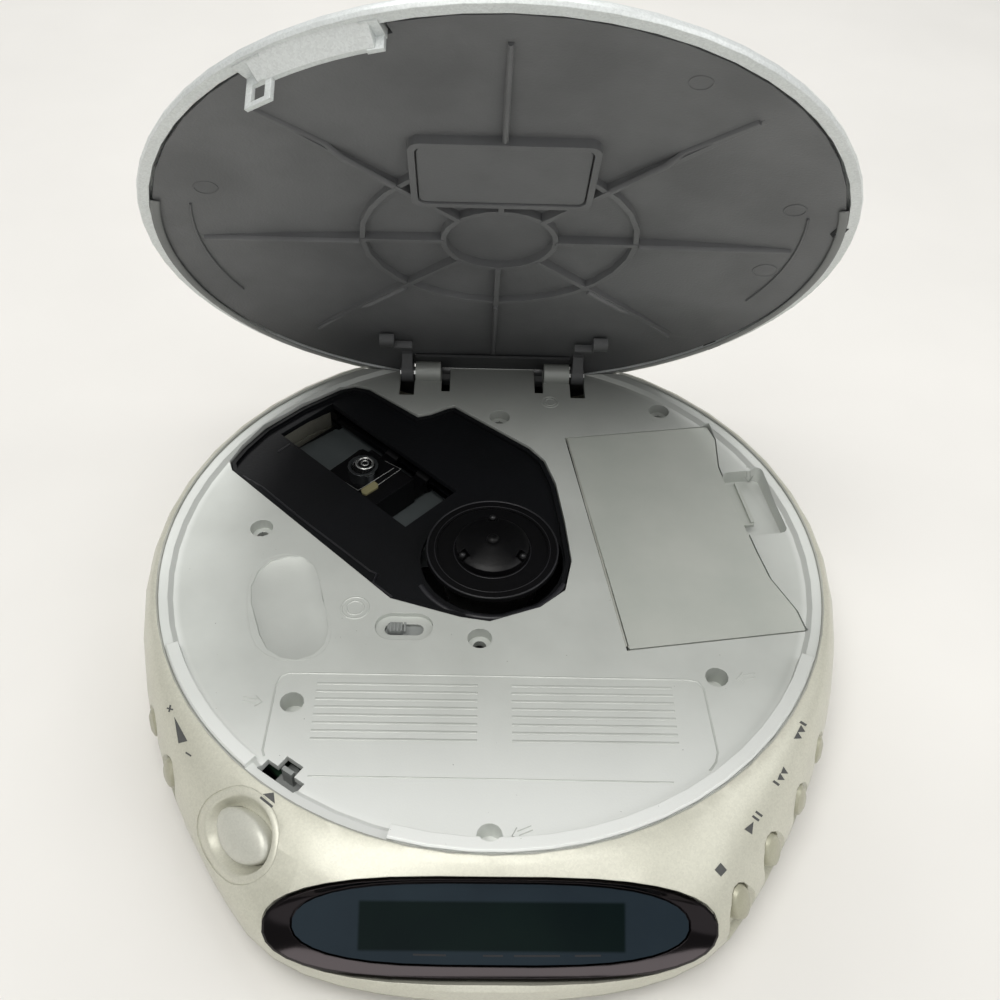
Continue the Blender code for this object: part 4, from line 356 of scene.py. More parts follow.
def piece_from(name, shape):
    """A mesh object from a bmesh."""
    mesh = bpy.data.meshes.new(name)
    shape.to_mesh(mesh)
    shape.free()
    return object_from(name, mesh)


def baked(piece):
    """A piece's mesh as its modifiers leave it."""
    return bpy.data.meshes.new_from_object(piece.evaluated_get(bpy.context.evaluated_depsgraph_get()))


def carved(piece, tool_shape, solver="EXACT"):
    """Cuts a shape out of a piece's mesh."""
    tool = piece_from("tool", tool_shape)
    step = piece.modifiers.new("cut", "BOOLEAN")
    step.object = tool
    step.operation = "DIFFERENCE"
    step.solver = solver
    mesh = baked(piece)
    piece.modifiers.remove(step)
    piece.data = mesh
    bpy.data.objects.remove(tool)


def shaded(piece, sharp):
    """Curved walls shade as curves, and corners stay crisp."""
    shape = bmesh.new()
    shape.from_mesh(piece.data)
    for face in shape.faces:
        face.smooth = True
    for edge in shape.edges:
        if len(edge.link_faces) == 2:
            edge.smooth = edge.calc_face_angle() <= sharp
    shape.to_mesh(piece.data)
    shape.free()


# Where each key meets the flank: a point in millimetres from the frame's origin, the direction up the flank and
# the direction out of it, then the scoop around it: width, length, depth, drop and lean
SCOOPS = (
    ((58.809, -32.304, 12.3), (-0.1257, 0.08289, 0.9886), (0.90915, -0.3892, 0.14823), (7.4, 15.0, 2.0, 2.6, 0.16)),
    ((53.578, -42.45, 12.3), (-0.184, 0.16801, 0.96846), (0.8436, -0.47868, 0.24332), (7.6, 16.0, 2.1, 3.0, 0.2)),
    ((47.162, -51.766, 12.3), (-0.2826, 0.34899, 0.8935), (0.73963, -0.51386, 0.43463), (8.0, 17.0, 2.2, 3.4, 0.28)),
    ((40.448, -60.843, 12.3), (-0.26492, 0.4409, 0.85757), (0.68249, -0.54252, 0.48976), (8.0, 17.0, 2.2, 3.4, 0.3)),
    ((-55.772, -38.528, 12.3), (0.16637, 0.13424, 0.97688), (-0.85813, -0.4683, 0.2105), (7.6, 16.0, 2.1, 3.0, 0.2)),
    ((-60.501, -28.456, 12.3), (0.10133, 0.05851, 0.99313), (-0.91025, -0.39739, 0.11629), (7.4, 15.0, 2.0, 2.6, 0.16)),
)
OPEN_AT = Vector((-41.206, -52.813, 17.378)) * MM
OPEN_OUT = Vector((-0.51329, -0.4264, 0.74479))


def scoop_tool(at, up, out, sizes):
    """A long bowl laid on the flank; it drops below its key and leans with the flank's curve."""
    width, length, depth, drop, lean = sizes
    up, out = Vector(up), Vector(out)
    turn = Matrix((up.cross(out), up, out)).transposed().to_4x4()
    frame = (Matrix.Translation(Vector(at) * MM) @ turn @ Matrix.Translation((0, -drop * MM, -drop * lean / 2 * MM))
             @ Matrix.Rotation(lean, 4, "X") @ Matrix.Diagonal((width / 2 * MM, length / 2 * MM, depth * MM, 1)))
    shape = bmesh.new()
    bmesh.ops.create_uvsphere(shape, u_segments=48, v_segments=24, radius=1.0)
    bmesh.ops.transform(shape, matrix=frame, verts=shape.verts)
    bmesh.ops.recalc_face_normals(shape, faces=shape.faces)
    return shape


def merged(source):
    """A CAD node's shape with its doubles merged."""
    shape = bmesh.new()
    shape.from_mesh(source.data)
    bmesh.ops.remove_doubles(shape, verts=shape.verts, dist=DOUBLES)
    return shape


def dressed(frame, node, finish, tools=()):
    """A smooth-shaded stand-in for a CAD node, with any tools cut out of it."""
    source = frame["nodes"][node]
    shape = merged(source)
    if not tools:
        bmesh.ops.dissolve_limit(shape, angle_limit=FLAT, verts=shape.verts, edges=shape.edges)
    piece = piece_from(node + "_dressed", shape)
    for tool in tools:
        carved(piece, tool, "MANIFOLD")
    shaded(piece, CAD_CREASE)
    show(piece, source["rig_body"], finish)
    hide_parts(node)


FINISH_OF = {
    "pearl": ("cabinet", "bottom_shell"),
    "key_pearl": ("next_key", "previous_key", "play_key", "stop_key", "volume_up_key",
                  "volume_down_key"),
    "lid_silver": ("lid_shell",),
    "deck_silver": ("deck",),
    "door_silver": ("battery_door",),
    "liner_grey": ("lid_liner", "lid_plate"),
    "switch_grey": ("hold_switch", "latch_slider"),
    "cover_black": ("mechanism_cover",),
    "turntable_rubber": ("turntable",),
    "lens_ring": ("lens_holder",),
    "part_black": ("battery_tray", "chuck_hub", "traverse_frame", "pickup_sled", "lcd_module",
                   "headphone_jack", "dc_jack"),
    "rubber": ("foot_front_left", "foot_front_right", "foot_rear_left", "foot_rear_right", "damper_1",
               "damper_2", "damper_3"),
    "board": ("main_board",),
    "cell_wrap": ("battery_cell_1", "battery_cell_2"),
    "dark_chrome": ("display_bezel",),
    "window": ("display_lens",),
    "clear": ("objective_lens",),
    "steel": ("battery_contact_1", "battery_contact_2", "battery_spring_1", "battery_spring_2", "spindle_motor",
              "sled_motor"),
    "dull_steel": ("chuck_ball_1", "chuck_ball_2", "chuck_ball_3"),
    "bright_steel": ("hinge_pin_left", "hinge_pin_right", "spindle_shaft"),
    "rod_steel": ("main_guide_rod", "side_guide_rod", "lead_screw"),
}


def tree_of(*pieces, turn=Matrix()):
    """A search tree over the faces of some pieces, turned together."""
    shape = bmesh.new()
    for piece in pieces:
        shape.from_mesh(piece.data)
    bmesh.ops.transform(shape, matrix=turn, verts=shape.verts)
    tree = BVHTree.FromBMesh(shape)
    shape.free()
    return tree


def gaze(view, px, py):
    """The direction in which the camera sees a pixel of the photograph."""
    right, up, down = view
    return (down * FOCUS_PX + right * (px - FRAME_PX / 2) - up * (py - FRAME_PX / 2)).normalized()


def planed(view, px, py, at, out):
    """Where a pixel of the photograph meets a plane."""
    ray = gaze(view, px, py)
    return CAMERA_PLACE + ray * ((at - CAMERA_PLACE).dot(out) / ray.dot(out))


def levelled(view, px, py, z):
    """Where a pixel of the photograph meets a level."""
    return planed(view, px, py, UP * z, UP)


def met(carrier, start, ray):
    """Where a ray meets a carrier and the normal there, facing the ray's start; None on a miss."""
    point, normal, _, _ = carrier.ray_cast(start, ray)
    return point and (point, (normal if normal.dot(ray) < 0 else -normal))


def sighted(view, carrier, px, py):
    """Where a pixel of the photograph meets a carrier, and the normal there."""
    return met(carrier, CAMERA_PLACE, gaze(view, px, py))


def dropped(carrier, x, y, turn=-1):
    """Where a plumb line at a place meets a carrier, and the normal there; turn 1 looks up from below."""
    return met(carrier, place(x, y, -PLUMB_FROM * turn), UP * turn)


def above(spots, z):
    """The spots that meet their carrier above a level."""
    return [spot for spot in spots if spot and spot[0].z > place(0, 0, z).z]


def circle(x, y, r, steps):
    """Points round a circle, from its right."""
    return [(x + r * math.cos(2 * math.pi * i / steps), y + r * math.sin(2 * math.pi * i / steps))
            for i in range(steps)]


def along(points, step):
    """A path's points with more between them, so that it follows a curved face."""
    path = [points[0]]
    for (x0, y0), (x1, y1) in zip(points, points[1:]):
        parts = max(1, round(math.hypot(x1 - x0, y1 - y0) / step))
        path += [(x0 + (x1 - x0) * k / parts, y0 + (y1 - y0) * k / parts) for k in range(1, parts + 1)]
    return path


def smoothed(points, times):
    """A closed path with its corners cut, each time halving its steps."""
    for _ in range(times):
        pairs = list(zip(points, points[1:] + points[:1]))
        points = [p for a, b in pairs for p in (a * 0.75 + b * 0.25, a * 0.25 + b * 0.75)]
    return points


def spread(outline, share):
    """A pixel outline, larger or smaller about its middle."""
    cx, cy = (sum(p[i] for p in outline) / len(outline) for i in (0, 1))
    return [(cx + (x - cx) * share, cy + (y - cy) * share) for x, y in outline]


def bridge(shape, low, high):
    """Faces between two rings with as many points."""
    for k in range(len(low)):
        n = (k + 1) % len(low)
        shape.faces.new((low[k], low[n], high[n], high[k]))


def lofted(shape, rings, closed=False):
    """Faces along rings of points; the first and the last are capped, or joined to each other."""
    made = [[shape.verts.new(p) for p in ring] for ring in rings]
    for low, high in zip(made, made[1:] + (made[:1] if closed else [])):
        bridge(shape, low, high)
    if not closed:
        shape.faces.new(made[0][::-1])
        shape.faces.new(made[-1])


def bead(shape, spots, width, height, closed=False):
    """A low moulded ridge, sized in millimetres, along spots of a surface; its foot is sunk a little."""
    count = len(spots)
    rings = []
    for i, (point, normal) in enumerate(spots):
        before = spots[(i - 1) % count if closed else max(i - 1, 0)][0]
        after = spots[(i + 1) % count if closed else min(i + 1, count - 1)][0]
        side = (after - before).normalized().cross(normal).normalized()
        rings.append([point + side * across * width * MM + normal * rise * height * MM
                      for across, rise in BEAD_SECTION])
    lofted(shape, rings, closed)


def traced(shape, view, carrier, path, step, width, height):
    """A bead along a path of the photograph's pixels, with spots at least every step."""
    bead(shape, [sighted(view, carrier, x, y) for x, y in along(path, step)], width, height)


def skin_of(shape, outline, middle, lift):
    """A thin closed skin of ink over an outline of spots on a surface, domed to its middle spot."""
    front = [shape.verts.new(point + normal * lift) for point, normal in outline]
    back = [shape.verts.new(point - normal * lift) for point, normal in outline]
    top, foot = (shape.verts.new(middle[0] + middle[1] * rise) for rise in (lift, -lift))
    for k in range(len(front)):
        n = (k + 1) % len(front)
        shape.faces.new((front[k], front[n], top))
        shape.faces.new((back[n], back[k], foot))
    bridge(shape, back, front)


def inked_marks(view, carrier, outlines, lift):
    """Ink over pixel outlines of the photograph, laid on a carrier; longer edges bend with it."""
    shape = bmesh.new()
    for outline in outlines:
        path = along(tuple(outline) + (outline[0],), MARK_STEP)[:-1]
        middle = (sum(x for x, _ in path) / len(path), sum(y for _, y in path) / len(path))
        skin_of(shape, [sighted(view, carrier, x, y) for x, y in path], sighted(view, carrier, *middle), lift)
    return shape


def closed_piece(name, shape, body, finish, smooth=True, turn=Matrix()):
    """Finishes a new piece: its place, outward faces, its look and the body that it rides on."""
    bmesh.ops.transform(shape, matrix=turn, verts=shape.verts)
    bmesh.ops.triangulate(shape, faces=[f for f in shape.faces if len(f.verts) > 4])
    bmesh.ops.recalc_face_normals(shape, faces=shape.faces)
    for face in shape.faces:
        face.smooth = smooth
    for edge in shape.edges:
        if len(edge.link_faces) == 2 and edge.calc_face_angle() > CREASE:
            edge.smooth = False
    return show(piece_from(name, shape), body, finish)


def beaded(name, body, finish, rows):
    """A piece of beads, from each one's spots, width and height, and whether it closes on itself."""
    shape = bmesh.new()
    for row in rows:
        bead(shape, *row)
    closed_piece(name, shape, body, finish)


def bar(shape, at, length, width, height, turn=Matrix()):
    """A small bar with a narrower top, sized in millimetres; a height below 0 hangs it."""
    lofted(shape, [[turn @ (at + Vector((x, y, rise * height)) * MM)
                    for x, y in rectangle(length / 2, width / 2 * share)] for share, rise in BAR_SECTION])


def rectangle(half, side):
    """The corners of a rectangle about 0."""
    return (-half, -side), (half, -side), (half, side), (-half, side)


def slab(view, outline, low, high):
    """A flat plate whose top has a pixel outline of the photograph, kept inside the cabinet's wall."""
    top = [levelled(view, x, y, high).xy - SPINDLE.xy for x, y in outline]
    top = [SPINDLE.xy + p * min(1.0, INSIDE_R / p.length) for p in top]
    shape = bmesh.new()
    lofted(shape, [[(*p, z) for p in top] for z in (low, high)])
    return shape


def turned_shape(profile, centre, steps):
    """A round piece from a profile of radii and heights in millimetres that starts and ends on its axis."""
    shape = bmesh.new()
    foot, top = (shape.verts.new(centre + UP * z * MM) for z in (profile[0][1], profile[-1][1]))
    rings = [[shape.verts.new(centre + Vector((x, y, z)) * MM) for x, y in circle(0, 0, r, steps)]
             for r, z in profile[1:-1]]
    for low, high in zip(rings, rings[1:]):
        bridge(shape, low, high)
    for k in range(steps):
        n = (k + 1) % steps
        shape.faces.new((foot, rings[0][n], rings[0][k]))
        shape.faces.new((rings[-1][k], rings[-1][n], top))
    return shape


def copies_tree(scattered):
    """Copies of a unit, in a row with equal steps, or over a surface in mixed sizes from a fixed seed."""
    tree = bpy.data.node_groups.new("copies", "GeometryNodeTree")
    tree.interface.new_socket("Geometry", in_out="OUTPUT", socket_type="NodeSocketGeometry")
    for label, kind in (("Geometry", "Geometry"), ("Unit", "Object"), ("Count", "Int"), ("Step", "Vector"),
                        ("Density", "Float"), ("Seed", "Int"), ("Least", "Float"), ("Most", "Float"),
                        ("Finish", "Material")):
        tree.interface.new_socket(label, in_out="INPUT", socket_type="NodeSocket" + kind)
    ins = add(tree, "NodeGroupInput", {}).outputs
    if scattered:
        spots = add(tree, "GeometryNodeDistributePointsOnFaces",
                    {"Mesh": ins["Geometry"], "Density": ins["Density"], "Seed": ins["Seed"]}).outputs
        size = add(tree, "FunctionNodeRandomValue", {"Seed": ins["Seed"], 2: ins["Least"], 3: ins["Most"]},
                   data_type="FLOAT")
        feeds = {"Points": spots["Points"], "Rotation": spots["Rotation"], "Scale": size.outputs[1]}
    else:
        line = add(tree, "GeometryNodeMeshLine", {"Count": ins["Count"], "Offset": ins["Step"]})
        feeds = {"Points": line.outputs[0]}
    unit = add(tree, "GeometryNodeObjectInfo", {"Object": ins["Unit"]}, transform_space="ORIGINAL")
    copies = add(tree, "GeometryNodeInstanceOnPoints", {"Instance": unit.outputs["Geometry"], **feeds})
    real = add(tree, "GeometryNodeRealizeInstances", {"Geometry": copies.outputs[0]})
    finished = add(tree, "GeometryNodeSetMaterial", {"Geometry": real.outputs[0], "Material": ins["Finish"]})
    add(tree, "NodeGroupOutput", {0: finished.outputs[0]})
    return tree


def grown_by(tree, name, host_shape, body, unit_shape, finish, **values):
    """Bakes what a tree makes from a host into one plain mesh object, and drops the host and the unit."""
    values.update(Unit=piece_from(name + "_unit", unit_shape), Finish=finish)
    host = piece_from(name + "_host", host_shape)
    step = host.modifiers.new("nodes", "NODES")
    step.node_group = tree
    for item in tree.interface.items_tree:
        if item.in_out == "INPUT" and item.name in values:
            step[item.identifier] = values[item.name]
    piece = object_from(name, baked(host))
    for item in (host, values["Unit"]):
        bpy.data.objects.remove(item)
    show(piece, body, finish)


def row_of(name, unit, body, finish, count, step):
    """A piece of equal copies in a row."""
    host = bmesh.new()
    host.verts.new((0, 0, 0))
    grown_by(copies_tree(False), name, host, body, unit, finish, Count=count, Step=step)


# Places in millimetres from the spindle, X to the right and Y to the hinge; the deck's ejector rings and its panel
EJECTOR_RINGS = ((-25.8, -14.1, 2.6), (13.2, 47.3, 1.9))
HOLD_KNOB = (-17.5, -18.7)
PANEL_X = ((-31.0, -2.6), (3.4, 32.0))
PANEL_TOP = -31.4
PANEL_STEP = 1.62
PANEL_ROWS = 8
INSIDE_R = 60.5 * MM  # The most reach of a plate inside the cabinet
LID_OVAL = 0.975  # The lid's width as a share of its length
LID_RIBS = 8
LID_RIB_R = 56.0
LID_RIB_FROM = 26.5
LID_RIB_TO = 55.5
LID_BACK_RIB_TO = 50.0  # It ends before the hinge
# The grey band round the lid's rim, partly the liner's grey and partly painted shade on the rim's face: its spots, from
# and step in degrees from the right, reach and width, and how many spots it takes to run in by its width
RIM_SPOTS = 71
RIM_FROM = -16
RIM_STEP = 3
RIM_R = 64.0
RIM_WIDTH = 1.7
RIM_RUN_IN = 18
# Ejector rings inside the lid: place and radius
LID_MARKS = ((51.0, -13.9, 1.9), (51.6, 8.4, 2.3), (-50.2, -16.5, 2.0), (-20.0, 47.0, 1.5), (27.5, -48.0, 1.8))
# Boxes beside the lid's lugs: place, length, width, height; and clips at its rim: place and turn
LUG_BOXES = ((23.7, 43.0, 3.2, 3.4, -1.6), (20.4, 45.4, 4.4, 1.4, -1.2))
LID_CLIPS = ((60.2, -9.9, 1.4), (48.4, 40.8, 0.9))
LENS_AT = (-27.4, 26.8, -2.98)
SLED_TOP_AT = (-31.8, 26.6)
LEVEL_AT = (-30, -50)

# Rings: a radius, a width and, where they differ, a height; and the cap's radii and heights
TURNTABLE_RINGS = ((12.85, 0.35, 0.16), (11.4, 0.16, 0.06), (7.6, 0.2, 0.08))
# Bright rings on the pickup's lens: painted highlights of its glints
LENS_GLINT_RINGS = ((1.75, 0.55), (0.75, 0.3))
CAP_PROFILE = ((0, -0.3), (1.25, -0.3), (1.25, 0.35), (1.05, 0.7), (0.6, 0.92), (0, 1.0))

# The open button's scoop and dome: how far across from one path to the next, and the rise in millimetres
SCOOP_LIP = ((0.0, -0.5), (0.12, -0.04), (0.15, 0.0), (0.5, 0.02), (0.86, 0.01))
SCOOP_BOWL = ((0.0, -0.06), (0.12, -0.33), (0.3, -0.85), (0.5, -1.35), (0.7, -1.75), (0.88, -1.92), (1.04, -1.98))
DOME_SECTION = ((0.975, -3.2), (0.975, -0.5), (0.955, -0.1), (0.9, 0.2), (0.78, 0.5), (0.6, 0.78), (0.36, 0.98),
                (0.12, 1.05))

# The deck's dent, as a skin on the deck
DENT_RINGS = (1.0, 0.96, 0.9, 0.8, 0.66, 0.5, 0.3)
DENT_DEPTH = 1.35 * MM
DENT_CURVE = 3.2
DENT_LIFT = 0.05 * MM
DENT_SKIN = 0.35 * MM

# The deck's screws, which the cut spoils: the height of a head, how far it lies below the deck, and how far from it,
# in millimetres, the deck's level is taken; then each one's turn and the cross recess
SCREW_HEAD = 0.4 * MM
SCREW_SUNK = 0.45 * MM
SCREW_WELL_R = 3.2
SCREW_TURNS = (0.5, 1.1, 0.2, 0.8)
CROSS_SIZE = 2.6 * MM
CROSS_SECTION = ((0.2, 1.0), (-0.34, 0.55))

# Lamps: place, the point that each faces, its size in metres, watts and tint
LAMPS = (("key_lamp", (-0.12, -0.20, 0.84), (0, 0, 0.02), 0.6, 4.7, "#fffefb"),
         ("fill_lamp", (0.60, -0.20, 0.60), (0, 0, 0.02), 0.6, 1.7, "#ffffff"),
         ("front_lamp", (-0.10, -0.80, 0.40), (0, 0, 0.02), 0.6, 0.8, "#ffffff"),
         ("back_lamp", (-0.05, 0.60, 0.60), (0, 0.06, 0.10), 0.5, 2.3, "#ffffff"))

# Outlines in the photograph's pixels, each laid on the face that it meets
PANEL_FRAME = ((264, 756), (262.5, 750), (276, 685), (281, 676), (290, 673), (480, 676), (687.5, 680), (698, 682),
               (703.8, 688.8), (718, 752.5), (716, 762.5), (710, 771))
PANEL_LINE = ((307.5, 776), (490, 779), (673.8, 782.5))
ARROWS = (((243, 699), (262, 702)), ((755, 675), (737, 679)), ((532, 828), (512, 836)), ((748.5, 466), (748.5, 482)))
KEY_MARKS = {
    "next": (((799.2, 722.6), (805.2, 726.4), (807.0, 724.6), (801.0, 720.8)),
             ((800.9, 725.0), (797.2, 732.2), (805.2, 731.8)), ((797.6, 731.6), (793.8, 738.8), (801.8, 738.4))),
    "previous": (((772.4, 781.9), (778.2, 786.0), (779.8, 784.2), (774.0, 780.1)),
                 ((777.4, 779.8), (784.6, 780.0), (780.0, 773.0)), ((780.8, 773.4), (788.0, 773.6), (783.4, 766.6))),
    "play": (((755.0, 812.4), (761.4, 817.2), (762.8, 815.4), (756.4, 810.6)),
             ((751.8, 816.8), (758.2, 821.6), (759.6, 819.8), (753.2, 815.0)),
             ((744.2, 829.2), (753.4, 821.8), (752.0, 834.4))),
    "stop": (((714.6, 869.8), (720.6, 862.8), (726.8, 870.0), (720.8, 876.6)),),
    "plus": (((167.2, 707.4), (173.4, 709.0), (173.0, 710.4), (166.8, 708.8)),
             ((169.8, 704.8), (171.3, 705.2), (169.9, 712.2), (168.4, 711.8))),
    "wedge": (((174.4, 717.0), (187.4, 741.0), (178.6, 743.4)),),
    "minus": (((186.2, 751.8), (191.6, 755.2), (190.8, 756.6), (185.4, 753.2)),),
    "eject": (((273.8, 792.6), (275.0, 803.8), (262.8, 794.0)),
              ((273.4, 806.0), (271.8, 808.0), (259.6, 798.2), (261.2, 796.2))),
}
SCOOP_OUTLINE = ((228.2, 795.6), (242.9, 793.2), (256.2, 799.1), (266.5, 810.9), (272.4, 827.1), (271.5, 844.7),
                 (266.5, 860.9), (257.6, 871.2), (244.4, 877.1), (231.2, 875.6), (219.4, 865.3), (209.1, 849.1),
                 (203.8, 832.9), (205.3, 816.8), (213.5, 803.5))
BUTTON_OUTLINE = ((220.9, 807.1), (231.2, 805), (242.9, 809.4), (254.7, 818.2), (263.5, 830), (267.4, 843.2),
                  (266.5, 856.5), (260.6, 863.8), (248.8, 866.8), (237.1, 864.7), (226.8, 856.5), (218.8, 844.7),
                  (215, 830), (215.3, 816.8))
DENT_OUTLINE = ((270, 559.4), (288.8, 555.6), (305.6, 560), (315, 570), (318.8, 587.5), (321.3, 603), (328, 618.8),
                (329.4, 634), (323, 648.8), (307.5, 656.9), (285.6, 658), (266.9, 653), (254.4, 640.6), (250, 618.8),
                (248.8, 600), (251.3, 581), (257.5, 567.5))
PICKUP_PLATE = ((329, 471), (346, 459.5), (359, 450), (363, 449), (392, 464), (394.5, 468), (389, 472), (360, 491),
                (356, 490))
# Thin bright lines along the pickup plate's edges: painted highlights
PICKUP_EDGE_GLINTS = (((330, 472.5), (358, 490.5), (378, 478), (394, 468)), ((385, 461), (401, 469), (372, 489)))
PICKUP_CHIP = ((361, 489), (374, 481), (378, 484), (378, 487), (366, 494.5), (362, 493))
DOOR_GAPS = (((566.5, 436), (626.5, 646.6)), ((628, 647.2), (803, 630.2)))
CHASSIS_SHEET = ((262, 430), (300, 380), (400, 385), (520, 500), (480, 560), (400, 570))
COVER_EDGES = (((243, 476), (262, 487), (300, 518), (340, 548), (370, 571), (377, 574), (373, 583), (392, 597)),
               ((278, 452), (296, 440), (312, 430)))
WINDOW_MARKS = (((413, 953.6), (446, 954.4), (446, 956.4), (413, 955.6)),
                ((483, 954.8), (503, 955.0), (503, 957.0), (483, 956.8)),
                ((514, 955.0), (560, 955.0), (560, 957.0), (514, 957.0)),
                ((575, 955.0), (601, 954.6), (601, 956.6), (575, 957.0)))


def cross_tool(centre, size, turn):
    """A cross recess that narrows as it goes down; its two slots differ a little, so that no faces coincide."""
    shape = bmesh.new()
    for quarter in (0, 1):
        frame = Matrix.Translation(centre) @ Matrix.Rotation(turn + quarter * math.pi / 2, 4, "Z")
        side = size * (0.15 + 0.002 * quarter)
        lofted(shape, [[frame @ Vector((x, y, (z + quarter * 0.004) * size))
                        for x, y in rectangle(size * 0.5 * share, side)] for z, share in CROSS_SECTION])
    bmesh.ops.recalc_face_normals(shape, faces=shape.faces)
    return shape


def recessed_screw(frame, node, finish, turn):
    """Meant as a pan-head screw with a cross recess, its head just below the deck.

    Known fault: the tool's two slots overlap, and the exact cut then leaves only a fragment of the screw.
    """
    source = frame["nodes"][node]
    shape = merged(source)
    top = max(v.co.z for v in shape.verts)
    head = [v for v in shape.verts if v.co.z > top - SCREW_HEAD]
    centre = sum((v.co for v in head), Vector()) / len(head)
    level = dropped(tree_of(frame["nodes"]["deck"]), (centre.x - SPINDLE.x) / MM,
                    (centre.y - SPINDLE.y) / MM - SCREW_WELL_R)[0].z
    for vert in head:
        vert.co.z += max(0.0, level - SCREW_SUNK - top)
    centre.z = max(v.co.z for v in head)
    piece = piece_from(node + "_recessed", shape)
    carved(piece, cross_tool(centre, CROSS_SIZE, turn))
    shaded(piece, SCREW_CREASE)
    show(piece, source["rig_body"], finish)
    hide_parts(node)


def deck_dent(view, level, finish):
    """The smooth oval dent, as a thin closed skin that dips from its rim."""
    rim = [levelled(view, x, y, level) for x, y in DENT_OUTLINE]
    middle = sum(rim, Vector()) / len(rim)
    rim = smoothed([middle + (p - middle) * 1.06 for p in rim], 2)

    def dished(lift):
        return [[middle + (p - middle) * share + UP * (lift - DENT_DEPTH * (1 - share ** DENT_CURVE)) for p in rim]
                for share in DENT_RINGS]

    dent = bmesh.new()
    lofted(dent, dished(DENT_LIFT)[::-1] + dished(DENT_LIFT - DENT_SKIN))
    closed_piece("deck_dent_skin", dent, "base", finish)


def deck_lines(view, floor, finish):
    """The moulded frame of the ruled panel, the line below it and the double arrows, as raised beads."""
    lines = bmesh.new()
    traced(lines, view, floor, PANEL_FRAME, 8, 0.42, 0.14)
    traced(lines, view, floor, PANEL_LINE, 12, 0.3, 0.1)
    for (x0, y0), (x1, y1) in ARROWS:
        dx, dy = (x1 - x0) / 20, (y1 - y0) / 20

        def spot(ahead, aside):
            return x0 + dx * ahead + dy * aside, y0 + dy * ahead - dx * aside

        for side in (-2.1, 2.1):
            traced(lines, view, floor, (spot(0, side), spot(14, side)), 5, 0.2, 0.1)
        traced(lines, view, floor, (spot(13, 5.5), spot(20, 0), spot(13, -5.5)), FRAME_PX, 0.22, 0.1)
    closed_piece("deck_panel_lines", lines, "base", finish)


def deck_rules(floor, finish):
    """Two columns of ruled lines in the panel."""
    for i, (x0, x1) in enumerate(PANEL_X):
        middle = (x0 + x1) / 2
        spot = place(middle, PANEL_TOP)
        spot.z = dropped(floor, middle, PANEL_TOP)[0].z
        rule = bmesh.new()
        bar(rule, spot, x1 - x0, 0.5, 0.06)
        row_of(f"deck_panel_rules_{i + 1}", rule, "base", finish, PANEL_ROWS, (0, -PANEL_STEP * MM, 0))


def hold_ribs(knob, finish):
    """Grip ribs across the hold switch's knob."""
    turn = Matrix.Translation(dropped(tree_of(knob), *HOLD_KNOB)[0]) @ Matrix.Rotation(math.pi / 2, 4, "Z")
    rib = bmesh.new()
    bar(rib, Vector((0, 1.3, 0)) * MM, 2.0, 0.42, 0.24, turn)
    row_of("hold_switch_ribs", rib, "hold_switch", finish, 5, (0.65 * MM, 0, 0))


def deck_dust(deck, finish):
    """Dark specks on the deck's upward faces."""
    speck = bmesh.new()
    bmesh.ops.create_icosphere(speck, subdivisions=1, radius=0.1 * MM)
    host = bmesh.new()
    host.from_mesh(deck.data)
    away = [f for f in host.faces if f.normal.z < 0.9 or f.calc_center_median().z < SPINDLE.z - 4 * MM]
    bmesh.ops.delete(host, geom=away, context="FACES")
    grown_by(copies_tree(True), "deck_dust", host, "base", speck, finish, Density=9000.0, Seed=7, Least=0.25,
             Most=0.9)


def deck_details(view, frame, finishes):
    """What is moulded into the deck, or lies on it."""
    nodes = frame["nodes"]
    floor = tree_of(nodes["deck"], nodes["battery_door"])
    level = dropped(floor, *LEVEL_AT)[0].z
    beaded("deck_ejector_rings", "base", finishes["deck_silver"],
           [([dropped(floor, *spot) for spot in circle(x, y, reach, 28)], 0.4, 0.13, True)
            for x, y, r in EJECTOR_RINGS for reach in (r, r * 0.62)])
    deck_dent(view, level, finishes["deck_silver"])
    # A grey floor in the battery door's gaps: painted shade of the gap
    beaded("door_gap_floor", "base", finishes["seam_shade_grey"],
           [([(levelled(view, x, y, level - 0.3 * MM), UP) for x, y in path], 0.5, 0.12) for path in DOOR_GAPS])
    deck_lines(view, floor, finishes["embossed"])
    deck_rules(floor, finishes["embossed"])
    hold_ribs(nodes["hold_switch"], finishes["switch_grey"])
    deck_dust(nodes["deck"], finishes["dust"])


def liner_marks(under):
    """The liner's ejector rings, the soft edges of its ribs, its lug boxes and its side beads, with the lid closed."""
    marks = bmesh.new()
    for x, y, r in LID_MARKS:
        bead(marks, [dropped(under, *spot, 1) for spot in circle(x, y, r, 26)], 0.3, 0.12, True)
    for k in range(LID_RIBS):
        turn = 2 * math.pi * k / LID_RIBS
        far = LID_RIB_TO if k else LID_BACK_RIB_TO
        spots = [(r * LID_OVAL * math.sin(turn), r * math.cos(turn))
                 for r in (LID_RIB_FROM, *range(30, int(far), 4), far)]
        bead(marks, above([dropped(under, x, y, 1) for x, y in spots], -1), 1.0, 0.6)
    for side in (-1, 1):
        for x, y, length, width, height in LUG_BOXES:
            bar(marks, place(side * x, y, 1.5), length, width, height)
        arc = [(side * LID_RIB_R * 0.985 * math.sin(a), -LID_RIB_R * math.cos(a))
               for a in (math.radians(78 + 34 * k / 16) for k in range(17))]
        bead(marks, [dropped(under, x, y, 1) for x, y in arc], 0.5, 0.35)
    return marks


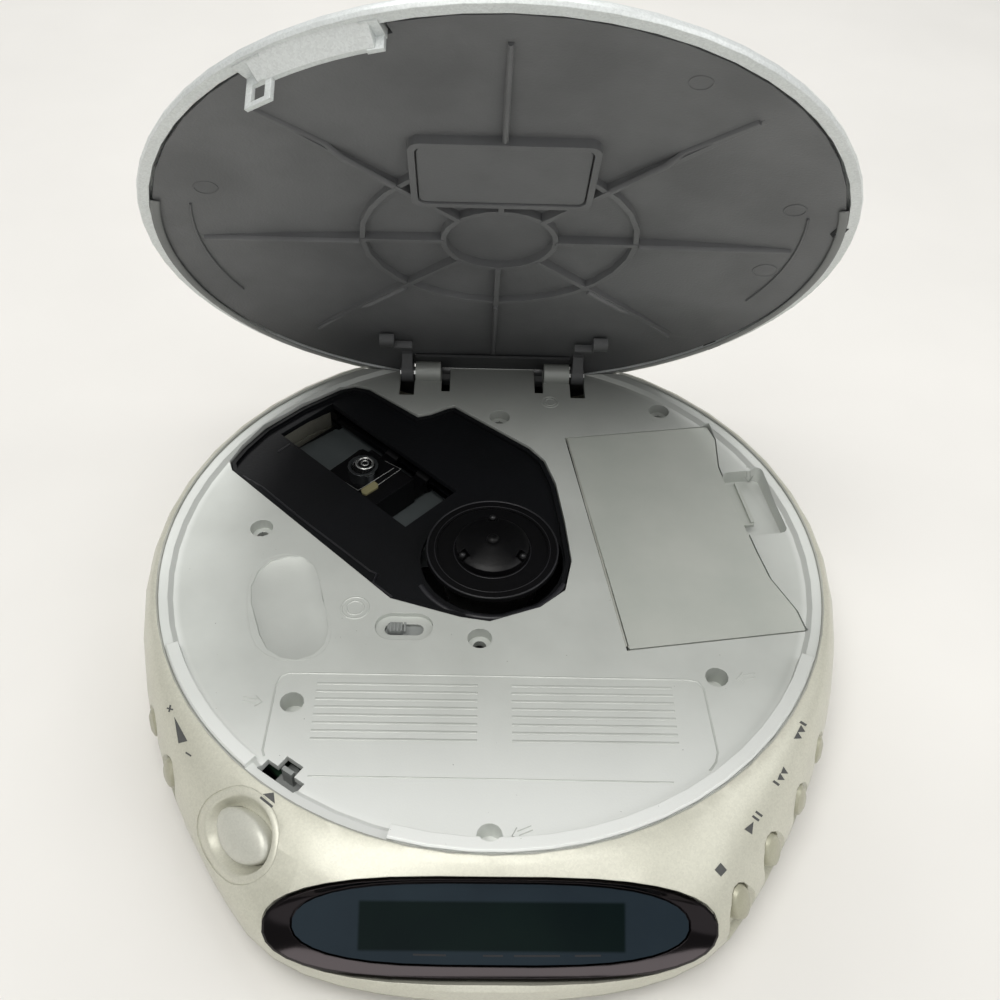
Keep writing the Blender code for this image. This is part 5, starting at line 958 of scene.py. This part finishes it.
def rim_shade_band():
    """A thin grey band between the liner and the lid's rim, round the hinge's half: partly the liner's grey, partly
    painted shade on the rim's face; it runs in at its ends.
    """
    edge = bmesh.new()
    spots = []
    for k in range(RIM_SPOTS):
        turn = math.radians(RIM_FROM + RIM_STEP * k)
        r = RIM_R - RIM_WIDTH * max(0.0, 1 - min(k, RIM_SPOTS - 1 - k) / RIM_RUN_IN)
        spots.append((place(r * LID_OVAL * math.cos(turn), r * math.sin(turn), 0.35), -UP))
    bead(edge, spots, RIM_WIDTH, 0.12)
    return edge


def lid_details(frame, finishes):
    """Low details inside the lid, laid out with the lid closed and turned open with it."""
    nodes = frame["nodes"]
    under = tree_of(nodes["lid_liner"], nodes["lid_shell"], turn=opened().inverted())
    # The hinge lip: a dark strip across the lid's notch, painted shade where the liner's lower edge lies in shadow; the
    # rim clips take the same dark grey
    lip = bmesh.new()
    bar(lip, place(0, 55.15, 1.45), 35.6, 6.5, 0.7)
    for x, y, turn in LID_CLIPS:
        bar(lip, Vector(), 3.4, 2.2, 1.0, Matrix.Translation(place(x, y, 1.3)) @ Matrix.Rotation(math.pi, 4, "X")
            @ Matrix.Rotation(turn, 4, "Z"))
    for name, shape, finish, smooth in (("lid_liner_marks", liner_marks(under), "liner_grey", True),
                                        # the rim's grey band: partly the liner's grey, partly painted shade
                                        ("lid_rim_edge", rim_shade_band(), "rim_shade_grey", True),
                                        # the hinge lip's dark grey is painted shade
                                        ("lid_hinge_lip", lip, "lip_painted_shade", False)):
        closed_piece(name, shape, nodes["lid_liner"]["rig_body"], finishes[finish], smooth, opened())
    # Dark webs filling the slots beside the hinge's tongue: painted shade
    webs = bmesh.new()
    for side in (-1, 1):
        bar(webs, place(side * 11.5, 58.4, -4.4), 3.9, 4.0, 2.0)
    closed_piece("hinge_slot_webs", webs, "base", finishes["lip_painted_shade"], smooth=False)


def matched(points, other, middle, out):
    """A closed path's points, started and spaced by their bearing so that they pair with another path's."""
    side = (other[0] - middle).normalized()
    across = out.cross(side)

    def bearing(p):
        return math.atan2((p - middle).dot(across), (p - middle).dot(side)) % (2 * math.pi)

    ring = sorted(points, key=bearing)
    turns = [bearing(p) for p in ring]
    found = []
    for goal in map(bearing, other):
        n = next((i for i, t in enumerate(turns) if t > goal), 0)
        low, high = turns[n - 1], turns[n]
        share = ((goal - low) % (2 * math.pi)) / (((high - low) % (2 * math.pi)) or 1.0)
        found.append(ring[n - 1].lerp(ring[n], share))
    return found


def open_scoop_paths(view, flank):
    """The open button's edge, the scoop's edge, and the path on the flank that lies outside both."""
    edge = smoothed([planed(view, x, y, OPEN_AT - OPEN_OUT * 0.2 * MM, OPEN_OUT) for x, y in BUTTON_OUTLINE], 2)
    middle = sum(edge, Vector()) / len(edge)
    far, near = [], []
    for (x0, y0), (x1, y1) in zip(spread(SCOOP_OUTLINE, 1.24), SCOOP_OUTLINE):
        far.append(sighted(view, flank, x0, y0)[0])
        rise = (far[-1] - OPEN_AT).dot(OPEN_OUT) * 0.6
        near.append(planed(view, x1, y1, OPEN_AT + OPEN_OUT * rise, OPEN_OUT))
    far, near = (matched(smoothed(path, 2), edge, middle, OPEN_OUT) for path in (far, near))
    return edge, near, far, middle


def open_scoop_tool(view, flank):
    """The room that the scoop's skin takes out of the flank."""
    _, near, far, _ = open_scoop_paths(view, flank)
    shape = bmesh.new()
    wide = [a.lerp(b, 0.14) for a, b in zip(far, near)]
    lofted(shape, [[p + OPEN_OUT * rise * MM for p in wide] for rise in (2.5, -2.4)])
    bmesh.ops.triangulate(shape, faces=shape.faces)
    bmesh.ops.recalc_face_normals(shape, faces=shape.faces)
    return shape


def open_button_details(view, frame, finishes):
    """The open button's oval dome, and the smooth scoop that runs down to it from the flank."""
    edge, near, far, middle = open_scoop_paths(view, tree_of(frame["nodes"]["cabinet"]))
    rings = [[a.lerp(b, share) + OPEN_OUT * rise * MM for a, b in zip(outer, inner)]
             for outer, inner, section in ((far, near, SCOOP_LIP), (near, edge, SCOOP_BOWL))
             for share, rise in section]
    rings += [[p - OPEN_OUT * 0.5 * MM for p in ring] for ring in rings[::-1]]
    shape = bmesh.new()
    lofted(shape, rings, True)
    scoop = closed_piece("open_button_scoop", shape, "base", finishes["pearl"])
    dome = bmesh.new()
    lofted(dome, [[middle + (p - middle) * share + OPEN_OUT * rise * MM for p in edge] for share, rise in DOME_SECTION])
    button = closed_piece("open_button_dome", dome, frame["nodes"]["open_button"]["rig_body"],
                          finishes["button_pearl"])
    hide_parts("open_button")
    return scoop


def cabinet_details(view, frame, finishes):
    """The open button, the pad-printed marks on the flank and under the window, and the seam round the deck, a grey
    bead of painted shadow.
    """
    scoop = open_button_details(view, frame, finishes)
    flank = tree_of(frame["nodes"]["cabinet"], scoop)
    for label, outlines in KEY_MARKS.items():
        closed_piece("mark_" + label, inked_marks(view, flank, outlines, 0.05 * MM), "base", finishes["ink"],
                     smooth=False)
    glass = tree_of(frame["nodes"]["display_lens"])
    closed_piece("window_marks", inked_marks(view, glass, WINDOW_MARKS, 0.02 * MM), "base", finishes["faint_ink"],
                 smooth=False)
    # The seam round the deck as a grey bead: painted shadow of its step and gap
    beaded("deck_seam", "base", finishes["seam_shade_grey"],
           [([(place(x, y, -0.7), UP) for x, y in circle(0, 0, 64.25, 160)], 0.5, 0.28, True)])


def turntable_details(frame, finishes):
    """The turntable's fine rings, in a lighter black as painted edge highlights, and the rounded cap on its spindle."""
    nodes = frame["nodes"]
    body = nodes["turntable"]["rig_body"]
    plate = tree_of(nodes["turntable"], nodes["chuck_hub"])
    beaded("turntable_rings", body, finishes["edge_highlight_black"],
           [([dropped(plate, *spot) for spot in circle(0, 0, r, 60)], width, height, True)
            for r, width, height in TURNTABLE_RINGS])
    cap = turned_shape(CAP_PROFILE, Vector((SPINDLE.x, SPINDLE.y, dropped(plate, 2.0, 0)[0].z)), 24)
    closed_piece("spindle_cap", cap, body, finishes["part_black"])


def pickup_details(view, frame, finishes):
    """The pickup's bright lens rings, painted highlights of the lens's glints; its black plate, with thin bright lines
    along its edges as painted highlights; its chip, and the sheet far below it.
    """
    nodes = frame["nodes"]
    # bright steel rings on the lens: painted highlights of its glints
    beaded("lens_rims", nodes["lens_holder"]["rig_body"], finishes["bright_steel"],
           [([(place(*spot, LENS_AT[2]), UP) for spot in circle(*LENS_AT[:2], r, 36)], width, 0.12, True)
            for r, width in LENS_GLINT_RINGS])
    sled = nodes["pickup_sled"]["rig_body"]
    top = dropped(tree_of(nodes["pickup_sled"]), *SLED_TOP_AT)[0].z
    for name, outline, low, high, body, finish in (
            ("pickup_plate", PICKUP_PLATE, top - 0.1 * MM, top + 0.2 * MM, sled, "gloss_black"),
            ("pickup_chip", PICKUP_CHIP, top - 0.2 * MM, top + 0.45 * MM, sled, "chip_cream"),
            ("chassis_sheet", CHASSIS_SHEET, SPINDLE.z - 12.4 * MM, SPINDLE.z - 12.2 * MM, "base", "sheet_grey")):
        closed_piece(name, slab(view, outline, low, high), body, finishes[finish], smooth=False)
    # bright lines along the plate's edges: painted highlights
    beaded("pickup_plate_edges", sled, finishes["steel"],
           [([(levelled(view, x, y, top + 0.2 * MM), UP) for x, y in path], 0.14, 0.07) for path in PICKUP_EDGE_GLINTS])


def mechanism_details(view, frame, finishes):
    """What shows on the mechanism and through its cover, and the strip that slides under the hold switch."""
    turntable_details(frame, finishes)
    pickup_details(view, frame, finishes)
    strip = bmesh.new()
    bar(strip, place(-16.2, -18.5, -3.85), 14.5, 4.4, 0.25)
    closed_piece("hold_slide_strip", strip, "hold_switch", finishes["switch_grey"], smooth=False)
    cover = tree_of(frame["nodes"]["mechanism_cover"])
    ridges = [([sighted(view, cover, x, y) for x, y in along(path, 8)], 0.45, 0.22) for path in COVER_EDGES]
    arc = [(15.6 * math.sin(a), -15.6 * math.cos(a)) for a in (math.radians(-62 + 5 * k) for k in range(31))]
    ridges.append(([dropped(cover, x, y) for x, y in arc], 1.1, 0.3))
    # The cover's ridges in a lighter black: painted highlights along its edges
    beaded("cover_ridges", "base", finishes["edge_highlight_black"], [(above(spots, -4), *size) for spots, *size in ridges])


def make_camera():
    """The camera at the photograph's place, from its measured fall, yaw and roll."""
    down = Vector((math.sin(CAMERA_YAW) * math.cos(CAMERA_DOWN), math.cos(CAMERA_YAW) * math.cos(CAMERA_DOWN),
                   -math.sin(CAMERA_DOWN)))
    right = Vector((math.cos(CAMERA_YAW), -math.sin(CAMERA_YAW), 0))
    up = right.cross(down)
    r = right * math.cos(CAMERA_ROLL) + up * math.sin(CAMERA_ROLL)
    u = -right * math.sin(CAMERA_ROLL) + up * math.cos(CAMERA_ROLL)
    lens = bpy.data.cameras.new("photo_camera")
    lens.lens = CAMERA_LENS
    lens.clip_start = 0.01
    camera = object_from("photo_camera", lens)
    camera.matrix_world = Matrix.Translation(CAMERA_PLACE) @ Matrix((r, u, -down)).transposed().to_4x4()
    bpy.context.scene.camera = camera
    return r, u, down


def make_light(name, at, toward, size, watts, tint):
    """A soft round lamp that faces a point."""
    lamp = bpy.data.lights.new(name, "AREA")
    lamp.shape = "DISK"
    lamp.size = size
    lamp.energy = watts
    lamp.color = linear(tint)[:3]
    item = object_from(name, lamp)
    item.location = at
    item.rotation_euler = (Vector(toward) - Vector(at)).to_track_quat("-Z", "Y").to_euler()


def make_studio():
    """A pale floor that takes the shadow, a white room for what shines, and soft lamps."""
    shape = bmesh.new()
    bmesh.ops.create_grid(shape, x_segments=1, y_segments=1, size=2.0)
    floor = piece_from("floor", shape)
    paper, tree, shader, spot = begin("Studio paper", Roughness=0.9)
    tone = clouded(tree, spot, 60, 3.0, (0.3, "#dcdad6"), (0.7, "#e0deda"))[1]
    fed(tree, shader, {"Base Color": tone})
    floor.data.materials.append(paper)
    world = bpy.data.worlds.new("room")
    bpy.context.scene.world = world
    world.use_nodes = True
    fed(world.node_tree, world.node_tree.nodes["Background"], {"Color": linear("#f3f3f2"), "Strength": 0.38})
    for lamp in LAMPS:
        make_light(*lamp)


def main():
    """Dresses the player and lights it."""
    bpy.context.scene.view_settings.view_transform = "Standard"
    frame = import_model()
    view = make_camera()
    make_studio()
    finishes = make_finishes()
    scoops = [scoop_tool(*scoop) for scoop in SCOOPS] + [open_scoop_tool(view, tree_of(frame["nodes"]["cabinet"]))]
    for finish, nodes in FINISH_OF.items():
        for node in nodes:
            dressed(frame, node, finishes[finish], scoops if node == "cabinet" else ())
    for i, turn in enumerate(SCREW_TURNS):
        recessed_screw(frame, f"deck_screw_{i + 1}", finishes["screw_steel"], turn)
    deck_details(view, frame, finishes)
    lid_details(frame, finishes)
    cabinet_details(view, frame, finishes)
    mechanism_details(view, frame, finishes)


main()
